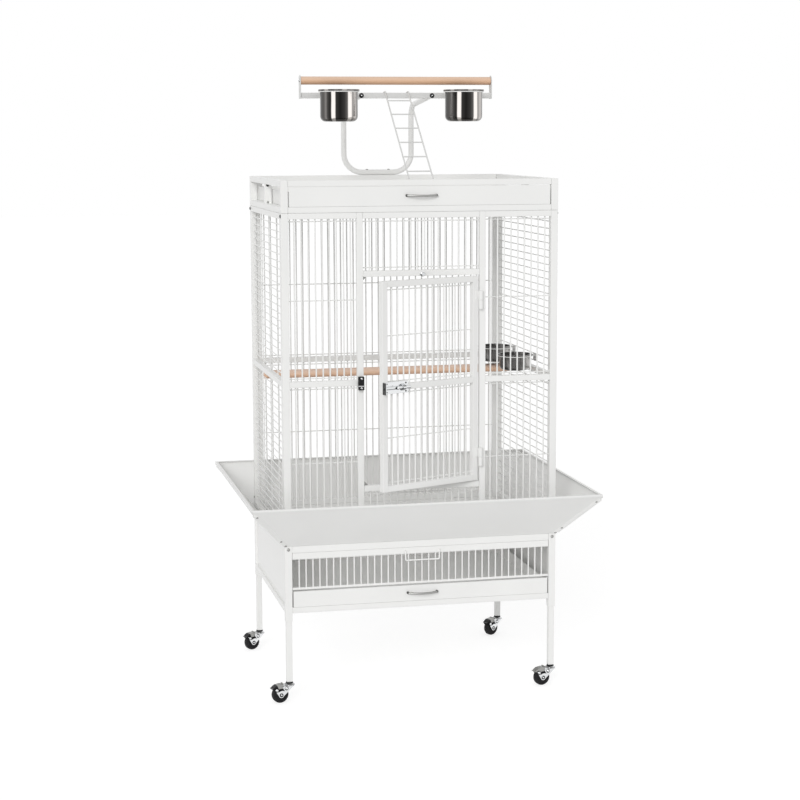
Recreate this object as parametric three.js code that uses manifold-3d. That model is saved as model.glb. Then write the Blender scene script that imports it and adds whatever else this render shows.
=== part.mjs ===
// Play-top parrot cage on a caster stand: barred walls with a swing door, seed skirts, a slide-out
// floor grate and two slide-out trays, feeding cups in rings, perches, and a play gym on the roof.
// Millimetres, +Z up, front towards -Y, origin on the floor under the middle of the cage.

import * as THREE from 'three';
import { mergeVertices } from 'three/addons/utils/BufferGeometryUtils.js';
import Module from 'manifold-3d';

const wasm = await Module();
wasm.setup();

// Whole cage
const body_width = 762;
const body_depth = 578;
const leg_bottom_height = 56.2;
const stand_top_height = 433.7;
const wall_height = 896;
const top_box_height = 85.6;
const seat_gap = 0.3;
const cut_overrun = 1;
const weld_depth = 1.5;

// Tube, bar and sheet stock
const post_size = 19;
const rail_size = 16;
const wall_thickness = 16;
const stile_width = 17;
const bar_size = 4;
const bar_pitch = 19;
const wire_size = 3;
const wire_pitch = 20;

// Front openings and rails
const mid_rail_rise = 431;
const door_opening_width = 322;
const sill_top_rise = 157;
const door_opening_height = 567.5;
const back_stile_width = 12;

// Door, its hinges and its latch
const door_side_gap = 3;
const door_stile_width = 16;
const door_open_degrees = 23;
const hinge_radius = 6;
const hinge_face_gap = 0.5;
const hinge_inset = 2;
const hinge_length = 50;
const hinge_drop = 40;
const hinge_pin_radius = 2.5;
const hinge_pin_clearance = 0.5;
const hinge_leaf_width = 9;
const hinge_leaf_thickness = 5;
const latch_length = 82;
const latch_height = 32;
const latch_plate_thickness = 2;
const latch_flange_depth = 16;
const latch_edge_overhang = 1.5;
const bolt_radius = 4;
const bolt_length = 84;
const bolt_stand_off = 8;
const bolt_clearance = 0.5;
const bolt_guide_width = 10;
const bolt_guide_inset = 58;
const bolt_knob_inset = 38;
const bolt_knob_radius = 3.5;
const bolt_knob_length = 9;
const keeper_width = 15;
const keeper_height = 36;
const keeper_depth = 14;

// Stand
const post_foot_length = 23;
const front_rail_height = 19;
const leg_size = 16;
const leg_socket_gap = 0.3;
const leg_plug_depth = 22;
const side_sheet_thickness = 2;
const side_sheet_inset = 5;
const runner_width = 14;
const runner_thickness = 2;

// Skirts
const skirt_reach = 103;
const skirt_rise = 123;
const skirt_thickness = 1.6;
const skirt_lip = 8;
const skirt_flange = 12;

// Floor grate
const grate_frame_height = 18;
const grate_frame_width = 6;
const grate_side_gap = 1.2;
const grate_back_gap = 4;
const fence_drop = 84;
const fence_tray_gap = 4.4;
const fence_wire_size = 4;
const bail_width = 95;
const bail_drop = 26;
const bail_wire_radius = 2;
const bail_stand_off = 4;

// Trays and their bow handles
const lower_tray_height = 44;
const lower_tray_wall_height = 36;
const top_tray_height = 52;
const top_tray_wall_height = 40;
const tray_wall = 1.5;
const tray_side_gap = 3.2;
const tray_front_recess = 1;
const tray_back_gap = 5;
const handle_length = 89;
const handle_reach = 22;
const handle_sag = 9;
const handle_radius = 3;
const handle_foot_radius = 5;
const handle_foot_length = 6;

// Top box
const box_middle_post = 16;

// Play gym
const gym_plane_y = 22;
const gym_tube_radius = 7.9;
const gym_tube_spacing = 203;
const gym_tube_bend = 54;
const gym_arm_bend = 40;
const gym_arm_fall = 25;
const gym_bar_rise = 219.3;
const gym_bar_size = 15.6;
const gym_bar_length = 551;
const gym_end_plate_width = 25;
const gym_end_plate_height = 65;
const gym_end_plate_thickness = 2.5;
const gym_end_plate_drop = 1;
const gym_perch_radius = 11.2;
const gym_perch_rise = 49;

// Ladder
const ladder_width = 66;
const ladder_wire_radius = 2;
const ladder_rung_radius = 1.75;
const ladder_rung_pitch = 62;
const ladder_first_rung = 33;
const ladder_hook_drop = 10;
const ladder_hook_clearance = 0.4;
const ladder_foot_y = -283;

// Cups and their rings
const gym_cup_radius = 52;
const gym_cup_height = 88;
const gym_cup_flange = 5.5;
const gym_cup_corner = 15;
const gym_cup_spacing = 355;
const cup_wall = 1.2;
const cup_flange_thickness = 2;
const cup_ring_clearance = 1;
const gym_ring_wire_radius = 2.5;
const cup_bar_clearance = 10.7;
const inner_cup_radius = 44.5;
const inner_cup_height = 45;
const inner_cup_flange = 5.5;
const inner_cup_corner = 12;
const inner_ring_wire_radius = 2.2;
const inner_cup_wall_distance = 60;
const inner_cup_perch_gap = 10.1;
const inner_cup_places = [-115, 100];
const ring_plate_width = 30;
const ring_plate_height = 34;
const ring_plate_thickness = 2;
const ring_tab_width = 20;

// Inside perch
const perch_radius = 12;
const perch_depth_place = 115;
const perch_rail_gap = 0.6;

// Casters
const wheel_radius = 23.4;
const wheel_width = 18;
const wheel_corner = 4;
const wheel_bore_clearance = 0.4;
const axle_radius = 3;
const hub_cap_radius = 6;
const caster_trail = 28;
const caster_side_gap = 1.2;
const fork_plate = 2;
const fork_hub_radius = 7;
const cheek_arm_back = 12.6;
const cheek_arm_rise = 15.5;
const cheek_arm_radius = 4;
const cheek_valley_rise = 14;
const fork_crown_height = 46.4;
const fork_crown_length = 20;
const swivel_cap_height = 7;
const swivel_cap_radius = 15;
const swivel_neck_radius = 9;
const brake_pin_radius = 1.5;
const brake_pin_back = 20;
const brake_pin_rise = 51.9;
const brake_running_gap = 3.8;
const brake_plate = 1.6;
const brake_start_degrees = 72;
const brake_end_degrees = 138;
const brake_pad_length = 3;
const caster_yaw_degrees = { front_left: 12, front_right: 12, rear_left: 24, rear_right: 30 };

// Counts of facets and steps
const tube_sides = 8;
const wire_sides = 6;
const bend_steps = 4;
const hook_steps = 1;
const cup_facets = 16;
const wheel_facets = 20;
const cap_facets = 12;
const cup_corner_steps = 2;
const ring_wire_sides = 5;

// Levels and faces that the pieces share
const half_width = body_width / 2;
const half_depth = body_depth / 2;
const wall_bottom = stand_top_height + seat_gap;
const wall_top = wall_bottom + wall_height;
const box_bottom = wall_top + seat_gap;
const box_top = box_bottom + top_box_height;
const mid_rail_bottom = wall_bottom + mid_rail_rise;
const mid_rail_top = mid_rail_bottom + rail_size;
const side_inner_x = half_width - wall_thickness;
const post_inner_x = half_width - post_size;
const opening_half = door_opening_width / 2;
const sill_top = wall_bottom + sill_top_rise;
const header_bottom = sill_top + door_opening_height;
const skirt_rim_height = stand_top_height + skirt_rise;
const gym_bar_height = box_top + gym_bar_rise;
const degree = Math.PI / 180;
const quarter_turn = Math.PI / 2;

// Geometry helpers

function block(x0, x1, y0, y1, z0, z1) {
  const box = new THREE.BoxGeometry(x1 - x0, y1 - y0, z1 - z0);
  return box.translate((x0 + x1) / 2, (y0 + y1) / 2, (z0 + z1) / 2);
}

function toSolid(geometry) {
  let bare = geometry.clone();
  bare.deleteAttribute('normal');
  bare.deleteAttribute('uv');
  bare = mergeVertices(bare);
  return new wasm.Manifold(new wasm.Mesh({
    numProp: 3,
    vertProperties: Float32Array.from(bare.attributes.position.array),
    triVerts: Uint32Array.from(bare.index.array),
  }));
}

function toGeometry(solid) {
  const mesh = solid.getMesh();
  const geometry = new THREE.BufferGeometry();
  geometry.setAttribute('position', new THREE.BufferAttribute(mesh.vertProperties, mesh.numProp));
  geometry.setIndex(new THREE.BufferAttribute(mesh.triVerts, 1));
  return geometry;
}

function join(geometries) {
  return toGeometry(geometries.map(toSolid).reduce((whole, piece) => whole.add(piece)));
}

function cut(geometry, tools) {
  return toGeometry(tools.map(toSolid).reduce((whole, tool) => whole.subtract(tool), toSolid(geometry)));
}

// A flat plate in its own u, v plane, with rectangular fields cut through it.
function framePlate(outline, fields, thickness) {
  const slab = ({ u0, u1, v0, v1 }, overrun) => block(u0, u1, v0, v1, -overrun, thickness + overrun);
  return cut(slab(outline, 0), fields.map((field) => slab(field, cut_overrun)));
}

// Places at one pitch, centred between two ends.
function evenPlaces(start, end, pitch) {
  const count = Math.max(1, Math.floor((end - start) / pitch));
  const first = (start + end - (count - 1) * pitch) / 2;
  return Array.from({ length: count }, (_, i) => first + i * pitch);
}

// Upright bars across a field, let into the members above and below it.
function uprightBars(field, thickness, size = bar_size, pitch = bar_pitch) {
  const middle = thickness / 2;
  return evenPlaces(field.u0, field.u1, pitch).map((u) => block(
    u - size / 2, u + size / 2, field.v0 - weld_depth, field.v1 + weld_depth, middle - size / 2, middle + size / 2));
}

// Level wires across a field, let into the posts beside it.
function levelWires(field, thickness) {
  const middle = thickness / 2;
  return evenPlaces(field.v0, field.v1, wire_pitch).map((v) => block(
    field.u0 - weld_depth, field.u1 + weld_depth, v - wire_size / 2, v + wire_size / 2,
    middle - wire_size / 2, middle + wire_size / 2));
}

const axis_x = new THREE.Vector3(1, 0, 0);
const axis_y = new THREE.Vector3(0, 1, 0);
const axis_z = new THREE.Vector3(0, 0, 1);

// Stands a plate up: u runs along X and v up, with its back face at y_back.
function standFacingFront(geometry, y_back) {
  const turn = new THREE.Matrix4().makeBasis(axis_x, axis_z, axis_y.clone().negate());
  return geometry.applyMatrix4(turn).translate(0, y_back, 0);
}

// Stands a plate up: u runs along Y and v up, with its left face at x_left.
function standFacingSide(geometry, x_left) {
  const turn = new THREE.Matrix4().makeBasis(axis_y, axis_z, axis_x);
  return geometry.applyMatrix4(turn).translate(x_left, 0, 0);
}

// A path given by its stations, so that straight runs take one step and bends take several.
class StationPath extends THREE.Curve {
  constructor(stations) {
    super();
    this.stations = stations;
  }

  getPoint(t) {
    const place = t * (this.stations.length - 1);
    const index = Math.min(Math.floor(place), this.stations.length - 2);
    return this.stations[index].clone().lerp(this.stations[index + 1], place - index);
  }

  getPointAt(t) {
    return this.getPoint(t);
  }

  getTangentAt(t) {
    const last = this.stations.length - 1;
    const index = Math.round(t * last);
    const before = this.stations[Math.max(index - 1, 0)];
    const here = this.stations[index];
    const after = this.stations[Math.min(index + 1, last)];
    const incoming = here.clone().sub(before).normalize();
    const outgoing = after.clone().sub(here).normalize();
    return incoming.add(outgoing).normalize();
  }
}

// Rounds each inner corner of a route with an arc and returns the stations along it.
function roundedRoute(corners, bend_radius, steps = bend_steps) {
  const stations = [corners[0]];
  for (let i = 1; i < corners.length - 1; i += 1) {
    const back = corners[i - 1].clone().sub(corners[i]).normalize();
    const ahead = corners[i + 1].clone().sub(corners[i]).normalize();
    const half_angle = back.angleTo(ahead) / 2;
    const sweep = Math.PI - 2 * half_angle;
    const centre_way = back.clone().add(ahead).normalize();
    const centre = corners[i].clone().addScaledVector(centre_way, bend_radius / Math.sin(half_angle));
    const start = corners[i].clone().addScaledVector(back, bend_radius / Math.tan(half_angle));
    const spoke = start.sub(centre);
    const turn_axis = back.clone().negate().cross(ahead).normalize();
    for (let step = 0; step <= steps; step += 1) {
      stations.push(centre.clone().add(spoke.clone().applyAxisAngle(turn_axis, sweep * step / steps)));
    }
  }
  stations.push(corners[corners.length - 1]);
  return stations;
}

function tubeAlong(stations, radius, sides) {
  const corners = Array.from({ length: sides }, (_, i) => new THREE.Vector2(
    radius * Math.cos((i + 0.5) * 2 * Math.PI / sides), radius * Math.sin((i + 0.5) * 2 * Math.PI / sides)));
  return new THREE.ExtrudeGeometry(new THREE.Shape(corners), {
    extrudePath: new StationPath(stations), steps: stations.length - 1, bevelEnabled: false });
}

function bentTube(corners, bend_radius, radius, sides, steps = bend_steps) {
  return tubeAlong(roundedRoute(corners, bend_radius, steps), radius, sides);
}

// A straight rod between two points.
function rod(from, to, radius, sides) {
  return tubeAlong([from, to], radius, sides);
}

// A bent sheet seen end-on: a line of points thickened to both sides with mitred bends.
function sheetOutline(points, thickness) {
  const half = thickness / 2;
  const side = (sign) => points.map((point, i) => {
    const before = points[Math.max(i - 1, 0)];
    const after = points[Math.min(i + 1, points.length - 1)];
    const incoming = (i > 0 ? point.clone().sub(before) : after.clone().sub(point)).normalize();
    const outgoing = (i < points.length - 1 ? after.clone().sub(point) : point.clone().sub(before)).normalize();
    const normal_in = new THREE.Vector2(-incoming.y, incoming.x);
    const normal_out = new THREE.Vector2(-outgoing.y, outgoing.x);
    const mitre = normal_in.clone().add(normal_out).normalize();
    return point.clone().addScaledVector(mitre, sign * half / mitre.dot(normal_in));
  });
  return [...side(-1), ...side(1).reverse()];
}

function lathe(profile, facets) {
  return new THREE.LatheGeometry(profile, facets);
}

// Turns a lathe's axis from Y to Z.
function upright(geometry) {
  return geometry.rotateX(quarter_turn);
}

// Materials

const finishes = {
  white_enamel: { color: 0xe9e9e6, roughness: 0.38, metalness: 0.0 },
  chrome: { color: 0xc9cbce, roughness: 0.16, metalness: 1.0 },
  stainless: { color: 0xb9b7b3, roughness: 0.14, metalness: 1.0 },
  wood: { color: 0xd9b08c, roughness: 0.6, metalness: 0.0 },
  black_rubber: { color: 0x232325, roughness: 0.6, metalness: 0.0 },
  black_plastic: { color: 0x1c1c1d, roughness: 0.45, metalness: 0.0 },
};

function piece(name, geometry, finish) {
  geometry.computeVertexNormals();
  const mesh = new THREE.Mesh(geometry, new THREE.MeshStandardMaterial(finishes[finish]));
  mesh.name = name;
  return mesh;
}

const cage = new THREE.Group();

// Stand: two welded ends, a back, two front rails and four plug-in legs

const leg_centre_x = half_width - post_size / 2;
const leg_centre_y = half_depth - post_size / 2;
const stand_rail_bottom = stand_top_height - rail_size;
const front_rail_bottom = stand_top_height - front_rail_height;
const grate_top = front_rail_bottom - seat_gap;
const grate_bottom = grate_top - grate_frame_height;
const fence_bottom = grate_bottom - fence_drop;
const lower_tray_bottom = fence_bottom - fence_tray_gap - lower_tray_height;
const tray_rail_top = lower_tray_bottom - seat_gap;
const tray_rail_bottom = tray_rail_top - rail_size;
const post_bottom_height = tray_rail_bottom - post_foot_length;

function standEnd(side) {
  const outer = side * half_width;
  const inner = side * post_inner_x;
  const between = (a, b) => [Math.min(a, b), Math.max(a, b)];
  const [post_x0, post_x1] = between(outer, inner);
  const [rail_x0, rail_x1] = between(outer, side * side_inner_x);
  const sheet_outer = side * (half_width - side_sheet_inset);
  const [sheet_x0, sheet_x1] = between(sheet_outer, sheet_outer - side * side_sheet_thickness);
  const [runner_x0, runner_x1] = between(sheet_outer, inner - side * runner_width);
  const post_y = half_depth - post_size;
  const posts = [-1, 1].map((end) => {
    const [y0, y1] = between(end * half_depth, end * post_y);
    return block(post_x0, post_x1, y0, y1, post_bottom_height, stand_top_height);
  });
  const top_rail = block(rail_x0, rail_x1, -post_y - weld_depth, post_y + weld_depth, stand_rail_bottom,
    stand_top_height);
  const low_rail = block(rail_x0, rail_x1, -post_y - weld_depth, post_y + weld_depth, tray_rail_bottom,
    tray_rail_top);
  const sheet = block(sheet_x0, sheet_x1, -post_y - weld_depth, post_y + weld_depth,
    tray_rail_top - weld_depth, stand_rail_bottom + weld_depth);
  const runners = [grate_bottom - seat_gap, tray_rail_top].map((top) => block(
    runner_x0, runner_x1, -post_y + seat_gap, post_y - seat_gap, top - runner_thickness, top));
  const frame = join([...posts, top_rail, low_rail, sheet, ...runners]);
  const socket_half = leg_size / 2 + leg_socket_gap;
  const sockets = [-1, 1].map((end) => block(
    side * leg_centre_x - socket_half, side * leg_centre_x + socket_half,
    end * leg_centre_y - socket_half, end * leg_centre_y + socket_half,
    post_bottom_height - cut_overrun, post_bottom_height + leg_plug_depth + seat_gap));
  return cut(frame, sockets);
}

function standBack() {
  const edge = post_inner_x - seat_gap;
  const y0 = half_depth - wall_thickness;
  const sheet_y1 = half_depth - side_sheet_inset;
  return join([
    block(-edge, edge, y0, half_depth, stand_rail_bottom, stand_top_height),
    block(-edge, edge, y0, half_depth, tray_rail_bottom, tray_rail_top),
    block(-edge, edge, sheet_y1 - side_sheet_thickness, sheet_y1, tray_rail_top - weld_depth,
      stand_rail_bottom + weld_depth),
  ]);
}

function standFrontRail(z0, z1) {
  const edge = post_inner_x - seat_gap;
  return block(-edge, edge, -half_depth, -half_depth + wall_thickness, z0, z1);
}

function leg(side, end) {
  const half = leg_size / 2;
  const x = side * leg_centre_x;
  const y = end * leg_centre_y;
  return block(x - half, x + half, y - half, y + half, leg_bottom_height, post_bottom_height + leg_plug_depth);
}

cage.add(
  piece('stand_left_end', standEnd(-1), 'white_enamel'),
  piece('stand_right_end', standEnd(1), 'white_enamel'),
  piece('stand_back_panel', standBack(), 'white_enamel'),
  piece('stand_front_top_rail', standFrontRail(front_rail_bottom, stand_top_height), 'white_enamel'),
  piece('stand_front_bottom_rail', standFrontRail(tray_rail_bottom, tray_rail_top), 'white_enamel'),
);

// Casters: fork with its swivel cap, wheel and brake lever, each in the caster's own group

const wheel_centre_height = wheel_radius * Math.cos(Math.PI / wheel_facets);
const wheel_half = wheel_width / 2;
const fork_inner = wheel_half + caster_side_gap;
const fork_outer = fork_inner + fork_plate;
const wheel_centre = new THREE.Vector2(-caster_trail, wheel_centre_height);
const brake_pin = new THREE.Vector2(-brake_pin_back, brake_pin_rise);

// A plate parallel to the wheel, drawn in the X, Z plane.
function forkPlate(shape, y0, depth) {
  const plate = new THREE.ExtrudeGeometry(shape, { depth, bevelEnabled: false, curveSegments: bend_steps });
  return standFacingFront(plate, y0 + depth);
}

function pinAcross(centre, radius, half_length, sides) {
  return rod(new THREE.Vector3(centre.x, -half_length, centre.y), new THREE.Vector3(centre.x, half_length, centre.y),
    radius, sides);
}

// Each cheek is a V on the axle: a wide front arm up to the crown and the brake pin, and a short rear arm.
function casterFork() {
  const crown_back = fork_crown_length / 2;
  const crown_top = fork_crown_height + fork_plate;
  const arm_x = wheel_centre.x - cheek_arm_back;
  const arm_z = wheel_centre.y + cheek_arm_rise;
  const cheek = new THREE.Shape();
  cheek.moveTo(crown_back, crown_top);
  cheek.lineTo(-brake_pin_back, brake_pin_rise + 2 * brake_pin_radius);
  cheek.lineTo(-brake_pin_back - 3 * brake_pin_radius, brake_pin_rise);
  cheek.lineTo(wheel_centre.x, wheel_centre.y + cheek_valley_rise);
  cheek.lineTo(arm_x, arm_z + cheek_arm_radius);
  cheek.lineTo(arm_x - cheek_arm_radius, arm_z);
  cheek.absarc(wheel_centre.x, wheel_centre.y, fork_hub_radius, Math.PI, 2 * Math.PI, false);
  cheek.closePath();
  const cheeks = [-fork_outer, fork_inner].map((y0) => forkPlate(cheek.clone(), y0, fork_plate));
  const crown = block(-crown_back, crown_back, -fork_inner - weld_depth, fork_inner + weld_depth,
    fork_crown_height, crown_top);
  const cap_top = leg_bottom_height - seat_gap;
  const cap_bottom = cap_top - swivel_cap_height;
  const cap = upright(lathe([
    new THREE.Vector2(0, fork_crown_height), new THREE.Vector2(swivel_neck_radius, fork_crown_height),
    new THREE.Vector2(swivel_neck_radius, cap_bottom), new THREE.Vector2(swivel_cap_radius, cap_bottom),
    new THREE.Vector2(swivel_cap_radius, cap_bottom + swivel_cap_height / 3),
    new THREE.Vector2(swivel_neck_radius, cap_top), new THREE.Vector2(0, cap_top),
  ], cap_facets));
  const axle = pinAcross(wheel_centre, axle_radius, fork_outer, tube_sides);
  const hub_caps = pinAcross(wheel_centre, hub_cap_radius, fork_outer + fork_plate / 2, tube_sides);
  const hub_room = pinAcross(wheel_centre, hub_cap_radius + cut_overrun, fork_inner, tube_sides);
  const brake_axle = pinAcross(brake_pin, brake_pin_radius, fork_outer, wire_sides);
  return join([...cheeks, crown, cap, axle, brake_axle, cut(hub_caps, [hub_room])]);
}

function casterWheel() {
  const bore = axle_radius + wheel_bore_clearance;
  const rim = wheel_radius - wheel_corner;
  const shoulder = wheel_half - wheel_corner;
  const wheel = lathe([
    new THREE.Vector2(bore, -wheel_half), new THREE.Vector2(rim, -wheel_half),
    new THREE.Vector2(wheel_radius, -shoulder), new THREE.Vector2(wheel_radius, shoulder),
    new THREE.Vector2(rim, wheel_half), new THREE.Vector2(bore, wheel_half), new THREE.Vector2(bore, -wheel_half),
  ], wheel_facets);
  wheel.rotateY(Math.PI / wheel_facets);
  return wheel.translate(-caster_trail, 0, wheel_centre_height);
}

// A curved plate over the wheel that hangs on the brake pin, with a short toe pad at its far end.
function casterBrake() {
  const radius = wheel_radius + brake_running_gap + brake_plate / 2;
  const start = brake_start_degrees * degree;
  const end = brake_end_degrees * degree;
  const arc = Array.from({ length: bend_steps + 1 }, (_, i) => {
    const angle = start + (end - start) * i / bend_steps;
    return new THREE.Vector2(wheel_centre.x + radius * Math.cos(angle), wheel_centre.y + radius * Math.sin(angle));
  });
  const tip = arc[arc.length - 1].clone().add(new THREE.Vector2(-brake_pad_length, 0));
  const outline = sheetOutline([...arc, tip], brake_plate);
  const hood = forkPlate(new THREE.Shape(outline), -wheel_half, wheel_width);
  const eye_outer = 2 * brake_pin_radius;
  const eye_plate = new THREE.Shape();
  eye_plate.absarc(brake_pin.x, brake_pin.y, eye_outer, 0, 2 * Math.PI, false);
  const eye = forkPlate(eye_plate, -wheel_half, wheel_width);
  const bore = pinAcross(brake_pin, brake_pin_radius + wheel_bore_clearance, wheel_half + cut_overrun, wire_sides);
  return cut(join([hood, eye]), [bore]);
}

const wheel_and_fork = { fork: casterFork(), wheel: casterWheel(), brake: casterBrake() };

for (const [end_name, end] of [['front', -1], ['rear', 1]]) {
  for (const [side_name, side] of [['left', -1], ['right', 1]]) {
    const place = `${end_name}_${side_name}`;
    cage.add(piece(`leg_${place}`, leg(side, end), 'white_enamel'));
    const caster = new THREE.Group();
    caster.position.set(side * leg_centre_x, end * leg_centre_y, 0);
    caster.rotation.z = caster_yaw_degrees[place] * degree;
    caster.add(
      piece(`caster_fork_${place}`, wheel_and_fork.fork.clone(), 'chrome'),
      piece(`caster_wheel_${place}`, wheel_and_fork.wheel.clone(), 'black_rubber'),
      piece(`caster_brake_${place}`, wheel_and_fork.brake.clone(), 'chrome'),
    );
    cage.add(caster);
  }
}

// Seed skirts: four bent sheets that mitre at the corners, with a folded rim

function skirt(half_length) {
  const wall_side = seat_gap + skirt_thickness / 2;
  const outline = sheetOutline([
    new THREE.Vector2(wall_side, wall_bottom + skirt_flange),
    new THREE.Vector2(wall_side, wall_bottom + skirt_thickness),
    new THREE.Vector2(skirt_reach - skirt_thickness / 2, skirt_rim_height - skirt_lip),
    new THREE.Vector2(skirt_reach - skirt_thickness / 2, skirt_rim_height - skirt_thickness / 2),
    new THREE.Vector2(skirt_reach - skirt_lip, skirt_rim_height - skirt_thickness / 2),
  ], skirt_thickness);
  const panel = new THREE.ExtrudeGeometry(new THREE.Shape(outline), { depth: 1, bevelEnabled: false });
  const points = panel.attributes.position;
  for (let i = 0; i < points.count; i += 1) {
    const reach = points.getX(i);
    const way = points.getZ(i) > 0 ? -1 : 1;
    points.setXYZ(i, way * (half_length + reach - seat_gap), -reach, points.getY(i));
  }
  return panel;
}

function skirtAt(name, half_length, half_across, turns) {
  const panel = skirt(half_length).translate(0, -half_across, 0).rotateZ(turns * quarter_turn);
  return piece(name, panel, 'white_enamel');
}

cage.add(
  skirtAt('skirt_front', half_width, half_depth, 0),
  skirtAt('skirt_right', half_depth, half_width, 1),
  skirtAt('skirt_back', half_width, half_depth, 2),
  skirtAt('skirt_left', half_depth, half_width, 3),
);

// Floor grate: flat bars front to back, a fence that hangs from its front rail, and a wire bail

const grate_edge_x = post_inner_x - grate_side_gap;
const tray_edge_x = post_inner_x - tray_side_gap;
const front_face_y = -half_depth + tray_front_recess;

function floorGrate() {
  const back_y = half_depth - wall_thickness - grate_back_gap;
  const outline = { u0: -grate_edge_x, u1: grate_edge_x, v0: front_face_y, v1: back_y };
  const field = {
    u0: -grate_edge_x + grate_frame_width, u1: grate_edge_x - grate_frame_width,
    v0: front_face_y + grate_frame_width, v1: back_y - grate_frame_width };
  const frame = framePlate(outline, [field], grate_frame_width);
  const bars = uprightBars(field, grate_frame_width);
  const floor = join([frame, ...bars]).translate(0, 0, grate_bottom);
  const front_rail = block(-grate_edge_x, grate_edge_x, front_face_y, front_face_y + grate_frame_width,
    grate_bottom, grate_top);
  const fence_y = front_face_y + grate_frame_width / 2;
  const fence_half = fence_wire_size / 2;
  const fence = evenPlaces(-grate_edge_x, grate_edge_x, bar_pitch).map((x) => block(
    x - fence_half, x + fence_half, fence_y - fence_half, fence_y + fence_half,
    fence_bottom + weld_depth, grate_bottom + weld_depth));
  const fence_rail = block(-grate_edge_x, grate_edge_x, front_face_y, front_face_y + grate_frame_width,
    fence_bottom, fence_bottom + grate_frame_width);
  const bail_half = bail_width / 2;
  const bail_y = front_face_y - bail_stand_off;
  const bail_top = grate_bottom + grate_frame_height / 2;
  const bail = bentTube([
    new THREE.Vector3(-bail_half, front_face_y + weld_depth, bail_top),
    new THREE.Vector3(-bail_half, bail_y, bail_top),
    new THREE.Vector3(-bail_half, bail_y, bail_top - bail_drop),
    new THREE.Vector3(bail_half, bail_y, bail_top - bail_drop),
    new THREE.Vector3(bail_half, bail_y, bail_top),
    new THREE.Vector3(bail_half, front_face_y + weld_depth, bail_top),
  ], bail_wire_radius, bail_wire_radius, wire_sides);
  return join([floor, front_rail, ...fence, fence_rail, bail]);
}

cage.add(piece('floor_grate', floorGrate(), 'white_enamel'));

// Slide-out trays with bow handles

function tray(bottom, front_height, wall_rise) {
  const back_y = half_depth - wall_thickness - tray_back_gap;
  const pan_front = front_face_y + tray_wall;
  const pan = cut(
    block(-tray_edge_x, tray_edge_x, pan_front - weld_depth / 2, back_y, bottom, bottom + wall_rise),
    [block(-tray_edge_x + tray_wall, tray_edge_x - tray_wall, pan_front, back_y - tray_wall,
      bottom + tray_wall, bottom + wall_rise + cut_overrun)]);
  const front = block(-tray_edge_x, tray_edge_x, front_face_y, pan_front, bottom, bottom + front_height);
  return join([pan, front]);
}

function bowHandle(z) {
  const half = handle_length / 2;
  const seat_y = front_face_y - seat_gap;
  const bow_y = seat_y - handle_foot_length;
  const bow = Array.from({ length: 2 * bend_steps + 1 }, (_, i) => {
    const share = i / bend_steps - 1;
    const swell = 1 - share * share;
    return new THREE.Vector3(share * (half - handle_foot_radius),
      bow_y - swell * (handle_reach - handle_foot_length), z - swell * handle_sag);
  });
  const feet = [-1, 1].map((side) => {
    const x = side * (half - handle_foot_radius);
    return rod(new THREE.Vector3(x, seat_y, z), new THREE.Vector3(x, bow_y - handle_radius, z),
      handle_foot_radius, tube_sides);
  });
  return join([tubeAlong(bow, handle_radius, wire_sides), ...feet]);
}

const top_tray_bottom = box_bottom + rail_size + seat_gap;

cage.add(
  piece('lower_tray', tray(lower_tray_bottom, lower_tray_height, lower_tray_wall_height), 'white_enamel'),
  piece('lower_tray_handle', bowHandle(lower_tray_bottom + lower_tray_height / 2), 'chrome'),
  piece('top_tray', tray(top_tray_bottom, top_tray_height, top_tray_wall_height), 'white_enamel'),
  piece('top_tray_handle', bowHandle(top_tray_bottom + top_tray_height / 2), 'chrome'),
);

// Cage walls: tube frames filled with level wires at the sides and upright bars elsewhere

const wall_front_y = -half_depth + wall_thickness;

function sideWall(side) {
  const y0 = wall_front_y + seat_gap;
  const outline = { u0: y0, u1: half_depth, v0: wall_bottom, v1: wall_top };
  const lower = { u0: y0 + rail_size, u1: half_depth - post_size, v0: wall_bottom + rail_size, v1: mid_rail_bottom };
  const upper = { ...lower, v0: mid_rail_top, v1: wall_top - rail_size };
  const wires = [...levelWires(lower, wall_thickness), ...levelWires(upper, wall_thickness)];
  const wall = join([framePlate(outline, [lower, upper], wall_thickness), ...wires]);
  return standFacingSide(wall, side > 0 ? side_inner_x : -half_width);
}

function backWall() {
  const edge = side_inner_x - seat_gap;
  const outline = { u0: -edge, u1: edge, v0: wall_bottom, v1: wall_top };
  const inner = edge - back_stile_width;
  const lower = { u0: -inner, u1: inner, v0: wall_bottom + rail_size, v1: mid_rail_bottom };
  const upper = { ...lower, v0: mid_rail_top, v1: wall_top - rail_size };
  const bars = [...uprightBars(lower, wall_thickness), ...uprightBars(upper, wall_thickness)];
  return standFacingFront(join([framePlate(outline, [lower, upper], wall_thickness), ...bars]), half_depth);
}

// The front beside the door: a corner post, a door stile and two barred fields.
function frontSide(extras) {
  const stile_outer = opening_half + stile_width;
  const outline = { u0: opening_half, u1: half_width, v0: wall_bottom, v1: wall_top };
  const lower = { u0: stile_outer, u1: post_inner_x, v0: wall_bottom + rail_size, v1: mid_rail_bottom };
  const upper = { ...lower, v0: mid_rail_top, v1: wall_top - rail_size };
  const bars = [...uprightBars(lower, wall_thickness), ...uprightBars(upper, wall_thickness)];
  const panel = standFacingFront(join([framePlate(outline, [lower, upper], wall_thickness), ...bars]), wall_front_y);
  return join([panel, ...extras]);
}

// The front above or below the door: two level rails with bars between them.
function frontBetween(bottom, top) {
  const edge = opening_half - seat_gap;
  const field = { u0: -edge, u1: edge, v0: bottom + rail_size, v1: top - rail_size };
  const rails = [[bottom, field.v0], [field.v1, top]].map(([z0, z1]) => block(
    -edge, edge, z0, z1, 0, wall_thickness));
  return standFacingFront(join([...rails, ...uprightBars(field, wall_thickness)]), wall_front_y);
}

// Door with its hinge knuckles, drawn shut and then swung open about the hinge pins

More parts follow.
